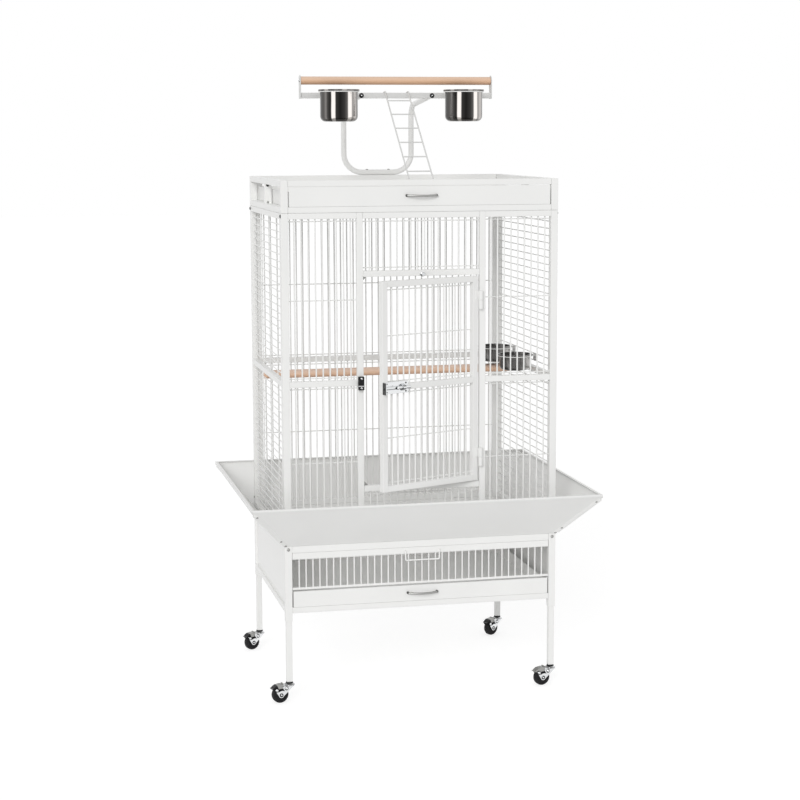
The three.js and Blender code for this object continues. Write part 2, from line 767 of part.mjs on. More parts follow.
const hinge_axis = new THREE.Vector2(opening_half + hinge_inset, -half_depth - hinge_radius - hinge_face_gap);
const door_half = opening_half - door_side_gap;
const door_bottom = sill_top + door_side_gap;
const door_top = header_bottom - door_side_gap;
const hinge_half = hinge_length / 2;
const hinge_places = [door_bottom + hinge_drop + hinge_half, door_top - hinge_drop - hinge_half];

function post(centre, radius, z0, z1, sides) {
  return rod(new THREE.Vector3(centre.x, centre.y, z0), new THREE.Vector3(centre.x, centre.y, z1), radius, sides);
}

// A knuckle with a neck and a pad that reaches the face behind it, on one side of the pin.
function hingeKnuckle(side, z0, z1) {
  const neck_y1 = hinge_axis.y + hinge_radius - hinge_face_gap;
  const pad_start = hinge_inset + door_side_gap + seat_gap;
  const x_of = (distance) => hinge_axis.x + side * distance;
  const span = (a, b) => [Math.min(a, b), Math.max(a, b)];
  const [neck_x0, neck_x1] = span(x_of(0), x_of(pad_start + weld_depth));
  const [pad_x0, pad_x1] = span(x_of(pad_start), x_of(pad_start + hinge_leaf_width));
  return [
    post(hinge_axis, hinge_radius, z0, z1, tube_sides),
    block(neck_x0, neck_x1, hinge_axis.y, neck_y1, z0, z1),
    block(pad_x0, pad_x1, neck_y1 - hinge_leaf_thickness, -half_depth + weld_depth, z0, z1),
  ];
}

function fixedHingeHalves() {
  return hinge_places.flatMap((z) => [
    ...hingeKnuckle(1, z - hinge_half, z - seat_gap),
    post(hinge_axis, hinge_pin_radius, z - hinge_half, z + hinge_half - hinge_pin_radius, wire_sides),
  ]);
}

function door() {
  const outline = { u0: -door_half, u1: door_half, v0: door_bottom, v1: door_top };
  const inner = door_half - door_stile_width;
  const lower = { u0: -inner, u1: inner, v0: door_bottom + door_stile_width, v1: mid_rail_bottom };
  const upper = { ...lower, v0: mid_rail_top, v1: door_top - door_stile_width };
  const bars = [...uprightBars(lower, wall_thickness), ...uprightBars(upper, wall_thickness)];
  const panel = standFacingFront(join([framePlate(outline, [lower, upper], wall_thickness), ...bars]), wall_front_y);
  const knuckles = hinge_places.flatMap((z) => hingeKnuckle(-1, z, z + hinge_half));
  const bores = hinge_places.map((z) => post(hinge_axis, hinge_pin_radius + hinge_pin_clearance,
    z - cut_overrun, z + hinge_half + cut_overrun, wire_sides));
  return cut(join([panel, ...knuckles]), bores);
}

const latch_height_place = (mid_rail_bottom + mid_rail_top) / 2;
const latch_back_y = -half_depth - seat_gap;
const latch_left_x = -door_half - latch_edge_overhang;
const bolt_y = latch_back_y - bolt_stand_off;

function boltBore(x0, x1, radius) {
  return rod(new THREE.Vector3(x0, bolt_y, latch_height_place), new THREE.Vector3(x1, bolt_y, latch_height_place),
    radius, tube_sides);
}

function latchPlate() {
  const half = latch_height / 2;
  const guide_x = latch_left_x + bolt_guide_inset;
  const base = block(latch_left_x, latch_left_x + latch_length, latch_back_y - latch_plate_thickness, latch_back_y,
    latch_height_place - half, latch_height_place + half);
  const flange = block(latch_left_x, latch_left_x + latch_plate_thickness, latch_back_y - latch_flange_depth,
    latch_back_y, latch_height_place - half, latch_height_place + half);
  const guide = block(guide_x, guide_x + bolt_guide_width, latch_back_y - latch_flange_depth, latch_back_y,
    latch_height_place - half / 2, latch_height_place + half / 2);
  const bore = boltBore(latch_left_x - cut_overrun, latch_left_x + latch_length + cut_overrun,
    bolt_radius + bolt_clearance);
  return cut(join([base, flange, guide]), [bore]);
}

function latchBolt() {
  const shaft = boltBore(latch_left_x, latch_left_x + bolt_length, bolt_radius);
  const knob_x = latch_left_x + bolt_knob_inset;
  const knob = rod(new THREE.Vector3(knob_x, bolt_y, latch_height_place),
    new THREE.Vector3(knob_x, bolt_y - bolt_radius - bolt_knob_length, latch_height_place), bolt_knob_radius,
    tube_sides);
  return join([shaft, knob]);
}

function keeper() {
  const centre_x = -opening_half - stile_width / 2;
  const half = keeper_height / 2;
  const body = block(centre_x - keeper_width / 2, centre_x + keeper_width / 2, latch_back_y - keeper_depth,
    latch_back_y, latch_height_place - half, latch_height_place + half);
  return cut(body, [boltBore(centre_x - keeper_width, centre_x + keeper_width, bolt_radius + 2 * bolt_clearance)]);
}

const door_swing = new THREE.Group();
door_swing.position.set(hinge_axis.x, hinge_axis.y, 0);
door_swing.rotation.z = door_open_degrees * degree;
for (const part of [
  piece('main_door', door(), 'white_enamel'),
  piece('latch_plate', latchPlate(), 'chrome'),
  piece('latch_bolt', latchBolt(), 'chrome'),
]) {
  part.position.set(-hinge_axis.x, -hinge_axis.y, 0);
  door_swing.add(part);
}

// Roof of the cage: a barred panel between the top rails

function roofGrille() {
  const edge_x = side_inner_x - seat_gap;
  const edge_y = half_depth - wall_thickness - seat_gap;
  const outline = { u0: -edge_x, u1: edge_x, v0: -edge_y, v1: edge_y };
  const field = {
    u0: -edge_x + back_stile_width, u1: edge_x - back_stile_width,
    v0: -edge_y + back_stile_width, v1: edge_y - back_stile_width };
  const bars = uprightBars(field, back_stile_width);
  return join([framePlate(outline, [field], back_stile_width), ...bars]).translate(0, 0, wall_top - back_stile_width);
}

cage.add(
  piece('left_wall', sideWall(-1), 'white_enamel'),
  piece('right_wall', sideWall(1), 'white_enamel'),
  piece('back_wall', backWall(), 'white_enamel'),
  piece('front_left_panel', frontSide([]).rotateZ(Math.PI).translate(0, 2 * wall_front_y - wall_thickness, 0),
    'white_enamel'),
  piece('front_right_panel', frontSide(fixedHingeHalves()), 'white_enamel'),
  piece('front_header_panel', frontBetween(header_bottom, wall_top), 'white_enamel'),
  piece('front_sill_panel', frontBetween(wall_bottom, sill_top), 'white_enamel'),
  piece('roof_grille', roofGrille(), 'white_enamel'),
  piece('latch_keeper', keeper(), 'black_plastic'),
  door_swing,
);

// Top box: open tube frames that hold the top tray

function boxEnd(side) {
  const outline = { u0: -half_depth, u1: half_depth, v0: box_bottom, v1: box_top };
  const middle = box_middle_post / 2;
  const low = box_bottom + rail_size;
  const high = box_top - rail_size;
  const front = { u0: -half_depth + post_size, u1: -middle, v0: low, v1: high };
  const rear = { u0: middle, u1: half_depth - post_size, v0: low, v1: high };
  const frame = framePlate(outline, [front, rear], post_size);
  const [runner_start, runner_end] = side > 0 ? [-runner_width, weld_depth]
    : [post_size - weld_depth, post_size + runner_width];
  const runner = block(front.u0, rear.u1, low - runner_thickness, low, runner_start, runner_end);
  return standFacingSide(join([frame, runner]), side > 0 ? post_inner_x : -half_width);
}

function boxBack() {
  const edge = post_inner_x - seat_gap;
  const outline = { u0: -edge, u1: edge, v0: box_bottom, v1: box_top };
  const middle = box_middle_post / 2;
  const low = box_bottom + rail_size;
  const high = box_top - rail_size;
  const left = { u0: -edge + box_middle_post, u1: -middle, v0: low, v1: high };
  const right = { u0: middle, u1: edge - box_middle_post, v0: low, v1: high };
  return standFacingFront(framePlate(outline, [left, right], wall_thickness), half_depth);
}

function boxFrontRail(z0) {
  const edge = post_inner_x - seat_gap;
  return block(-edge, edge, -half_depth, wall_front_y, z0, z0 + rail_size);
}

cage.add(
  piece('top_box_left_end', boxEnd(-1), 'white_enamel'),
  piece('top_box_right_end', boxEnd(1), 'white_enamel'),
  piece('top_box_back', boxBack(), 'white_enamel'),
  piece('top_box_front_upper_rail', boxFrontRail(box_top - rail_size), 'white_enamel'),
  piece('top_box_front_lower_rail', boxFrontRail(box_bottom), 'white_enamel'),
);

// Play gym: a bent tube on the back rail, a crossbar with end plates, a perch and a ladder

const gym_bar_top = gym_bar_height + gym_bar_size;
const gym_bar_front = gym_plane_y - gym_bar_size / 2;
const gym_bar_back = gym_plane_y + gym_bar_size / 2;

function gymTube() {
  const x = gym_tube_spacing / 2;
  const arm_z = gym_bar_height + gym_bar_size / 2;
  const post_y = half_depth - wall_thickness / 2;
  const foot_z = box_top + seat_gap + gym_tube_radius;
  const arm_slope = Math.atan2(gym_arm_fall, post_y - gym_bar_back);
  const arm_y = gym_bar_back + seat_gap + gym_tube_radius * Math.sin(arm_slope);
  const arm = (side) => new THREE.Vector3(side * x, arm_y, arm_z);
  const knee = (side) => new THREE.Vector3(side * x, post_y, arm_z - gym_arm_fall);
  const foot = (side) => new THREE.Vector3(side * x, post_y, foot_z);
  const half_way = (side) => knee(side).lerp(foot(side), 1 / 2);
  const upper = (side) => roundedRoute([arm(side), knee(side), half_way(side)], gym_arm_bend);
  const lower = roundedRoute([half_way(-1), foot(-1), foot(1), half_way(1)], gym_tube_bend);
  return tubeAlong([...upper(-1), ...lower.slice(1, -1), ...upper(1).reverse()], gym_tube_radius, tube_sides);
}

function gymCrossbar() {
  const half = gym_bar_length / 2;
  const bar_end = half - gym_end_plate_thickness / 2;
  const bar = block(-bar_end, bar_end, gym_bar_front, gym_bar_back, gym_bar_height, gym_bar_top);
  const plate_radius = gym_end_plate_width / 2;
  const outline = new THREE.Shape();
  const plate_bottom = gym_bar_height - gym_end_plate_drop;
  const plate_shoulder = plate_bottom + gym_end_plate_height - plate_radius;
  outline.moveTo(gym_plane_y - plate_radius, plate_bottom);
  outline.lineTo(gym_plane_y + plate_radius, plate_bottom);
  outline.absarc(gym_plane_y, plate_shoulder, plate_radius, 0, Math.PI, false);
  outline.closePath();
  const end_plate = (x_left) => standFacingSide(new THREE.ExtrudeGeometry(outline, {
    depth: gym_end_plate_thickness, bevelEnabled: false, curveSegments: bend_steps }), x_left);
  return join([bar, end_plate(half - gym_end_plate_thickness), end_plate(-half)]);
}

function roundPerch(half_length, radius, y, z) {
  return rod(new THREE.Vector3(-half_length, y, z), new THREE.Vector3(half_length, y, z), radius, 2 * tube_sides);
}

function ladder() {
  const reach = ladder_wire_radius + ladder_hook_clearance;
  const hook_top = gym_bar_top + reach;
  const hook_front = gym_bar_front - reach;
  const hook_back = gym_bar_back + reach;
  const foot_z = box_top + seat_gap + ladder_wire_radius;
  const head = new THREE.Vector3(0, hook_front, gym_bar_top - ladder_wire_radius);
  const foot = new THREE.Vector3(0, ladder_foot_y, foot_z);
  const slope = foot.clone().sub(head);
  const slope_length = slope.length();
  slope.normalize();
  const rail = (x) => bentTube([
    new THREE.Vector3(x, hook_back, gym_bar_top - ladder_hook_drop), new THREE.Vector3(x, hook_back, hook_top),
    new THREE.Vector3(x, hook_front, hook_top), new THREE.Vector3(x, head.y, head.z),
    new THREE.Vector3(x, foot.y, foot.z),
  ], ladder_wire_radius, ladder_wire_radius, wire_sides, hook_steps);
  const half = ladder_width / 2;
  const count = Math.floor((slope_length - ladder_first_rung) / ladder_rung_pitch) + 1;
  const rungs = Array.from({ length: count }, (_, i) => {
    const place = head.clone().addScaledVector(slope, ladder_first_rung + i * ladder_rung_pitch);
    return rod(new THREE.Vector3(-half, place.y, place.z), new THREE.Vector3(half, place.y, place.z),
      ladder_rung_radius, wire_sides);
  });
  return join([rail(-half), rail(half), ...rungs]);
}

cage.add(
  piece('gym_tube', gymTube(), 'white_enamel'),
  piece('gym_crossbar', gymCrossbar(), 'white_enamel'),
  piece('gym_perch', roundPerch(gym_bar_length / 2 - gym_end_plate_thickness - seat_gap, gym_perch_radius,
    gym_plane_y, gym_bar_height + gym_perch_rise), 'wood'),
  piece('gym_ladder', ladder(), 'white_enamel'),
);

// Feeding cups, each hanging by its flange in a wire ring

function cup(radius, height, flange, corner) {
  const arc = (inset, from_top) => Array.from({ length: cup_corner_steps + 1 }, (_, i) => {
    const angle = (i / cup_corner_steps) * quarter_turn;
    return new THREE.Vector2(radius - corner + (corner - inset) * Math.sin(angle),
      corner - (corner - inset) * Math.cos(angle));
  }).sort((a, b) => (from_top ? b.y - a.y : a.y - b.y));
  return upright(lathe([
    new THREE.Vector2(0, 0), ...arc(0, false), new THREE.Vector2(radius, height - cup_flange_thickness),
    new THREE.Vector2(radius + flange, height - cup_flange_thickness), new THREE.Vector2(radius + flange, height),
    new THREE.Vector2(radius - cup_wall, height), ...arc(cup_wall, true), new THREE.Vector2(0, cup_wall),
  ], cup_facets));
}

function wireRing(inner_radius, wire_radius) {
  return new THREE.TorusGeometry(inner_radius + wire_radius, wire_radius, ring_wire_sides, cup_facets);
}

const gym_ring_inner = gym_cup_radius + cup_ring_clearance;
const gym_ring_outer = gym_ring_inner + 2 * gym_ring_wire_radius;
const gym_cup_y = gym_bar_front - gym_cup_radius - cup_bar_clearance;
const gym_ring_z = gym_bar_top + seat_gap + gym_ring_wire_radius;
const gym_flange_bottom = gym_ring_z + gym_ring_wire_radius + seat_gap;

for (const [side_name, side] of [['left', -1], ['right', 1]]) {
  const x = side * gym_cup_spacing / 2;
  const ring = wireRing(gym_ring_inner, gym_ring_wire_radius).translate(x, gym_cup_y, gym_ring_z);
  const tab = block(x - ring_tab_width / 2, x + ring_tab_width / 2, gym_cup_y + gym_ring_inner + gym_ring_wire_radius,
    gym_bar_back, gym_bar_top + seat_gap, gym_ring_z);
  const bowl = cup(gym_cup_radius, gym_cup_height, gym_cup_flange, gym_cup_corner);
  const bowl_z = gym_flange_bottom + cup_flange_thickness - gym_cup_height;
  cage.add(
    piece(`gym_cup_ring_${side_name}`, join([ring, tab]), 'white_enamel'),
    piece(`gym_cup_${side_name}`, bowl.translate(x, gym_cup_y, bowl_z), 'stainless'),
  );
}

const wire_inner_x = half_width - wall_thickness / 2 - wire_size / 2;
const inner_cup_x = wire_inner_x - inner_cup_wall_distance;
const perch_top = mid_rail_bottom - perch_rail_gap;
const inner_cup_bottom = perch_top + inner_cup_perch_gap;
const inner_flange_bottom = inner_cup_bottom + inner_cup_height - cup_flange_thickness;
const inner_ring_z = inner_flange_bottom - seat_gap - inner_ring_wire_radius;
const inner_ring_inner = inner_cup_radius + cup_ring_clearance;
const inner_ring_middle = inner_ring_inner + inner_ring_wire_radius;

for (const [index, place] of [[0, 'front'], [1, 'rear']]) {
  const y = inner_cup_places[index];
  const plate_x1 = wire_inner_x - seat_gap;
  const ring = wireRing(inner_ring_inner, inner_ring_wire_radius).translate(inner_cup_x, y, inner_ring_z);
  const plate = block(plate_x1 - ring_plate_thickness, plate_x1, y - ring_plate_width / 2, y + ring_plate_width / 2,
    inner_ring_z - ring_plate_height / 2, inner_ring_z + ring_plate_height / 2);
  const arms = [-1, 1].map((side) => {
    const arm_y = y + side * ring_plate_width / 3;
    return rod(new THREE.Vector3(inner_cup_x + inner_ring_middle - inner_ring_wire_radius, arm_y, inner_ring_z),
      new THREE.Vector3(plate_x1 - ring_plate_thickness / 2, arm_y, inner_ring_z), inner_ring_wire_radius, wire_sides);
  });
  const bowl = cup(inner_cup_radius, inner_cup_height, inner_cup_flange, inner_cup_corner);
  cage.add(
    piece(`inner_cup_ring_${place}`, join([ring, plate, ...arms]), 'white_enamel'),
    piece(`inner_cup_${place}`, bowl.translate(inner_cup_x, y, inner_cup_bottom), 'stainless'),
  );
}

// Inside perch, just under the mid rails, from side wires to side wires

cage.add(piece('inner_perch', roundPerch(wire_inner_x - seat_gap, perch_radius, perch_depth_place,
  perch_top - perch_radius), 'wood'));

// The open door reaches past the skirts, so the whole is moved to stand centred on its outer box.
const outer_box = new THREE.Box3().setFromObject(cage, true);
cage.position.y = -(outer_box.min.y + outer_box.max.y) / 2;

export default cage;
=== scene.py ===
"""Dresses the fixed frame of a parrot cage with a play top: round bars, bent tubes, cups, finishes and light.

Shapes are written in millimetres about the middle of the cage's body, on the floor, with +X to the right,
+Y to the back and +Z up, and are brought into the frame's metres when a piece is finished.
"""

from __future__ import annotations

import logging
import math
from dataclasses import dataclass, field
from enum import Enum
from typing import Any, Sequence

import bmesh
import bpy
from mathutils import Matrix, Vector

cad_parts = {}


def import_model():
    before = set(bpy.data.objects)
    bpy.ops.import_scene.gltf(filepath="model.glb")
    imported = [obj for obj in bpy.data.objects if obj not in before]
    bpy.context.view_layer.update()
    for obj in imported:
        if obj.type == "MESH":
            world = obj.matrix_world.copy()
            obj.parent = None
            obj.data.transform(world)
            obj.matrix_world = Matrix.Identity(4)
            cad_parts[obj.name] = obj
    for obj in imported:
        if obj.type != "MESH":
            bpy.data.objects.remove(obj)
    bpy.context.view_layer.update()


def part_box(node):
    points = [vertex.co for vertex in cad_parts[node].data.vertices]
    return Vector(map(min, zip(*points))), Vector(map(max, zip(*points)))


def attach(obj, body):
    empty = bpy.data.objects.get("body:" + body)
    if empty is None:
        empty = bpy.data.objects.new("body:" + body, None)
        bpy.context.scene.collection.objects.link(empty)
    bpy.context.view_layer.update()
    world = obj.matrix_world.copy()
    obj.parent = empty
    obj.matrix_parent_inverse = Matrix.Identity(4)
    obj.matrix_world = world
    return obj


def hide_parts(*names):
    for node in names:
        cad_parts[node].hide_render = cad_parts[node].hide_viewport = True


LOG = logging.getLogger("parrot_cage")
MILLIMETRE = 0.001
SMOOTH_BELOW = math.radians(38)
SIDES = {"left": -1, "right": 1}
PLACES = {"front_left": (-1, -1), "front_right": (1, -1), "rear_left": (-1, 1), "rear_right": (1, 1)}
CASTER_TURNS = {"front_left": 12.0, "front_right": 12.0, "rear_left": 24.0, "rear_right": 30.0}

Pair = tuple[float, float]
Triple = tuple[float, float, float]


class Axis(Enum):
    """A way along which a round solid stands."""

    X = "x"
    Y = "y"
    Z = "z"
    FRONT = "-y"


# Sizes


@dataclass(frozen=True)
class CageSizes:
    """The cage's driving sizes, in millimetres."""

    width: float = 762.0
    depth: float = 578.0
    stand_top: float = 433.7
    wall_height: float = 896.0
    box_height: float = 85.6
    gap: float = 0.3
    post: float = 19.0
    rail: float = 16.0
    bar: float = 4.2
    bar_pitch: float = 19.0
    wire: float = 3.0
    wire_pitch: float = 20.0
    stile: float = 17.0
    back_stile: float = 12.0
    mid_rail_rise: float = 431.0
    opening_width: float = 322.0
    sill_rise: float = 157.0
    opening_height: float = 567.5

    @property
    def half_width(self) -> float:
        """Half of the body's width."""
        return self.width / 2

    @property
    def half_depth(self) -> float:
        """Half of the body's depth."""
        return self.depth / 2

    @property
    def wall_bottom(self) -> float:
        """Height of the walls' lower edge."""
        return self.stand_top + self.gap

    @property
    def wall_top(self) -> float:
        """Height of the walls' upper edge."""
        return self.wall_bottom + self.wall_height

    @property
    def box_bottom(self) -> float:
        """Height of the top box's lower edge."""
        return self.wall_top + self.gap

    @property
    def box_top(self) -> float:
        """Height of the rim of the top box."""
        return self.box_bottom + self.box_height

    @property
    def mid_bottom(self) -> float:
        """Height of the middle rails' lower face."""
        return self.wall_bottom + self.mid_rail_rise

    @property
    def mid_top(self) -> float:
        """Height of the middle rails' upper face."""
        return self.mid_bottom + self.rail

    @property
    def wall_front(self) -> float:
        """Y of the inner face of the front panels."""
        return -self.half_depth + self.rail

    @property
    def wall_back(self) -> float:
        """Y of the inner face of the back wall."""
        return self.half_depth - self.rail

    @property
    def opening_half(self) -> float:
        """Half of the doorway's width."""
        return self.opening_width / 2

    @property
    def sill_top(self) -> float:
        """Height of the doorway's lower edge."""
        return self.wall_bottom + self.sill_rise

    @property
    def header_bottom(self) -> float:
        """Height of the doorway's upper edge."""
        return self.sill_top + self.opening_height

    @property
    def wires_inside(self) -> float:
        """X of the inner side of the right wall's level wires."""
        return self.half_width - (self.rail + self.wire) / 2


# Shader graphs


class Wire:
    """A node's output socket that takes Python arithmetic."""

    def __init__(self, graph: Graph, socket: bpy.types.NodeSocket) -> None:
        """Keeps the socket and the graph that it belongs to."""
        self.graph = graph
        self.socket = socket

    def _maths(self, operation: str, first: Any, second: Any) -> Wire:
        """Adds a Math node on two wires or numbers."""
        return self.graph.node("ShaderNodeMath", {"operation": operation}, {0: first, 1: second})[0]

    def __add__(self, other: Any) -> Wire:
        """Returns self + other."""
        return self._maths("ADD", self, other)

    __radd__ = __add__

    def __sub__(self, other: Any) -> Wire:
        """Returns self - other."""
        return self._maths("SUBTRACT", self, other)

    def __rsub__(self, other: Any) -> Wire:
        """Returns other - self."""
        return self._maths("SUBTRACT", other, self)

    def __mul__(self, other: Any) -> Wire:
        """Returns self * other."""
        return self._maths("MULTIPLY", self, other)

    __rmul__ = __mul__


class MadeNode:
    """A node that gives its outputs as wires, by name or by number."""

    def __init__(self, graph: Graph, node: bpy.types.Node) -> None:
        """Keeps the node and its graph."""
        self.graph = graph
        self.node = node

    def __getitem__(self, key: str | int) -> Wire:
        """Returns one output as a wire."""
        return Wire(self.graph, self.node.outputs[key])


class Graph:
    """A node tree with one way of making nodes."""

    def __init__(self, tree: bpy.types.NodeTree) -> None:
        """Empties the tree and keeps it."""
        self.tree = tree
        self.tree.nodes.clear()

    def node(
        self, kind: str, settings: dict[str, Any] | None = None, sockets: dict[str | int, Any] | None = None
    ) -> MadeNode:
        """Makes one node, sets it up and connects it.

        Args:
            kind: the node's type name.
            settings: the node's own settings; "stops" gives a colour ramp's stops.
            sockets: values or wires for its inputs, by name or by number.

        Returns:
            The node, ready to be read by output.
        """
        made = self.tree.nodes.new(kind)
        for name, value in (settings or {}).items():
            if name == "stops":
                self._set_stops(made, value)
            else:
                setattr(made, name, value)
        for key, value in (sockets or {}).items():
            if isinstance(value, Wire):
                self.tree.links.new(value.socket, made.inputs[key])
            else:
                made.inputs[key].default_value = value
        return MadeNode(self, made)

    @staticmethod
    def _set_stops(ramp: bpy.types.Node, stops: Sequence[tuple[float, tuple[float, ...]]]) -> None:
        """Gives a colour ramp its stops.

        Args:
            ramp: the ramp node.
            stops: each stop's position and colour.
        """
        elements = ramp.color_ramp.elements
        while len(elements) > 1:
            elements.remove(elements[-1])
        elements[0].position, elements[0].color = stops[0]
        for position, colour in stops[1:]:
            elements.new(position).color = colour

    def join(self, *parts: Wire) -> Wire:
        """Joins geometries.

        Args:
            parts: the geometries.

        Returns:
            All of them as one.
        """
        joined = self.node("GeometryNodeJoinGeometry")
        for part in parts:
            self.tree.links.new(part.socket, joined.node.inputs[0])
        return joined[0]

    def mix_colour(self, factor: Any, first: Any, second: Any, blend: str = "MIX") -> Wire:
        """Blends the first colour into the second by a factor from 0 to 1."""
        settings = {"data_type": "RGBA", "blend_type": blend}
        return self.node("ShaderNodeMix", settings, {"Factor": factor, 6: first, 7: second})[2]

    def noise(self, place: Wire, scale: float, detail: float = 2.0) -> Wire:
        """Adds a noise from 0 to 1 with so many cells in each metre."""
        return self.node("ShaderNodeTexNoise", sockets={"Vector": place, "Scale": scale, "Detail": detail})[0]

    def stretch(self, place: Wire, scale: Triple) -> Wire:
        """Stretches a pattern's place by a factor along each axis."""
        return self.node("ShaderNodeMapping", sockets={"Vector": place, "Scale": scale})["Vector"]

    def bump(self, height: Wire, strength: float, distance: float) -> Wire:
        """Turns a height from 0 to 1, over a distance in metres, into a normal."""
        sockets = {"Height": height, "Strength": strength, "Distance": distance}
        return self.node("ShaderNodeBump", sockets=sockets)["Normal"]

    def ramp(self, place: Wire, stops: Sequence[tuple[float, tuple[float, ...]]]) -> Wire:
        """Reads a colour ramp at a place from 0 to 1."""
        return self.node("ShaderNodeValToRGB", {"stops": stops}, {0: place})[0]

    def stored(self, name: str) -> Wire:
        """Reads a vector that is stored on the mesh."""
        return self.node("ShaderNodeAttribute", {"attribute_name": name})["Vector"]

    def height_of(self, vector: Wire) -> Wire:
        """Takes a vector's Z part."""
        return self.node("ShaderNodeSeparateXYZ", sockets={0: vector})["Z"]

    def principled(self, sockets: dict[str, Any]) -> Wire:
        """Adds the surface shader."""
        return self.node("ShaderNodeBsdfPrincipled", sockets=sockets)[0]


# Finishes


@dataclass(frozen=True)
class Finish:
    """A surface finish that knows how to build its own material."""

    name: str
    slot: str
    colour: Triple
    roughness: float

    def tint(self, level: float) -> tuple[float, ...]:
        """The colour at a level of brightness, with full alpha."""
        return (*(part * level for part in self.colour), 1.0)

    def build(self) -> bpy.types.Material:
        """Builds the material.

        Returns:
            The finished material.
        """
        material = bpy.data.materials.new(self.name)
        material.use_nodes = True
        graph = Graph(material.node_tree)
        shader = self.shade(graph, graph.node("ShaderNodeTexCoord")["Object"])
        graph.node("ShaderNodeOutputMaterial", sockets={"Surface": shader})
        return material

    def mark(self, mesh: bpy.types.Mesh) -> None:
        """Stores on a mesh what its material reads besides its place; most finishes need nothing."""

    def shade(self, graph: Graph, place: Wire) -> Wire:
        """Adds the material's shader; each finish has its own.

        Args:
            graph: the material's graph.
            place: a point's place on the piece, in metres.

        Returns:
            The shader.
        """
        raise NotImplementedError


@dataclass(frozen=True)
class PowderCoat(Finish):
    """Sprayed and baked enamel with a faint orange peel and uneven gloss."""

    peel_scale: float = 650.0
    cloud_scale: float = 7.0

    def shade(self, graph: Graph, place: Wire) -> Wire:
        """Builds the enamel's shader; see Finish.shade."""
        peel = graph.noise(place, self.peel_scale)
        cloud = graph.noise(place, self.cloud_scale, 4.0)
        fleck = graph.noise(place, self.peel_scale / 3, 1.0)
        return graph.principled({
            "Base Color": graph.mix_colour(cloud, self.tint(0.96), self.tint(1.03)),
            "Roughness": cloud * 0.12 + fleck * 0.06 + (self.roughness - 0.09),
            "Normal": graph.bump(peel, 0.12, 0.0002),
            "Coat Weight": 0.15,
            "Coat Roughness": 0.2,
        })


def store_facing(mesh: bpy.types.Mesh) -> None:
    """Keeps each corner's normal as an attribute of a mesh that is in its final place."""
    made = mesh.attributes.new("facing", "FLOAT_VECTOR", "CORNER")
    made.data.foreach_set("vector", [part for normal in mesh.corner_normals for part in normal.vector])


@dataclass(frozen=True)
class Plate(Finish):
    """Bright plating, with painted reflections: dark and light bands, as a studio leaves, across its curves.
    """

    # The painted reflections: bands from facing away from lean, at 0, to facing along it, at 1, with their
    # brightness.
    reflection_bands: tuple[Pair, ...] = ((0.0, 1.0),)
    lean: Triple = (0.42, 0.1, 0.9)
    mark_stretch: Triple = (1.0, 1.0, 1.0)
    mark_scale: float = 260.0
    mark_depth: float = 0.05
    warp: float = 0.03
    # The darker colour's level: smudges dull plating towards it, and painted shade darkens a bowl's rim and
    # foot.
    dull_and_shade_level: float = 0.5

    def mark(self, mesh: bpy.types.Mesh) -> None:
        """Stores which way each face looks; see Finish.mark."""
        store_facing(mesh)

    def band_place(self, graph: Graph) -> Wire:
        """Where a point lies across the painted reflection bands, from 0, facing down, to 1, facing up."""
        sockets = {0: graph.stored("facing"), 1: self.lean}
        return graph.node("ShaderNodeVectorMath", {"operation": "DOT_PRODUCT"}, sockets)["Value"] * 0.5 + 0.5

    def dulling_and_shade(self, graph: Graph, smudge: Wire) -> Wire:
        """How far, from 0 to 1, the painted reflections give way to the darker colour; here smudges decide
        it.
        """
        return smudge * 0.03

    def shade(self, graph: Graph, place: Wire) -> Wire:
        """Builds the metal's shader; see Finish.shade."""
        marks = graph.noise(graph.stretch(place, self.mark_stretch), self.mark_scale, 3.0)
        smudge = graph.noise(place, 22.0, 3.0)
        # Painted reflection: the base colour follows the bands by which way each face looks, warped a little
        # by smudges.
        across = self.band_place(graph) + (smudge - 0.5) * self.warp
        band = graph.ramp(across, [(where, self.tint(level)) for where, level in self.reflection_bands])
        return graph.principled({
            "Base Color": graph.mix_colour(self.dulling_and_shade(graph, smudge), band, self.tint(self.dull_and_shade_level)),
            "Metallic": 1.0,
            "Roughness": marks * 0.1 + smudge * 0.08 + (self.roughness - 0.09),
            "Normal": graph.bump(marks, self.mark_depth, 0.0001),
        })


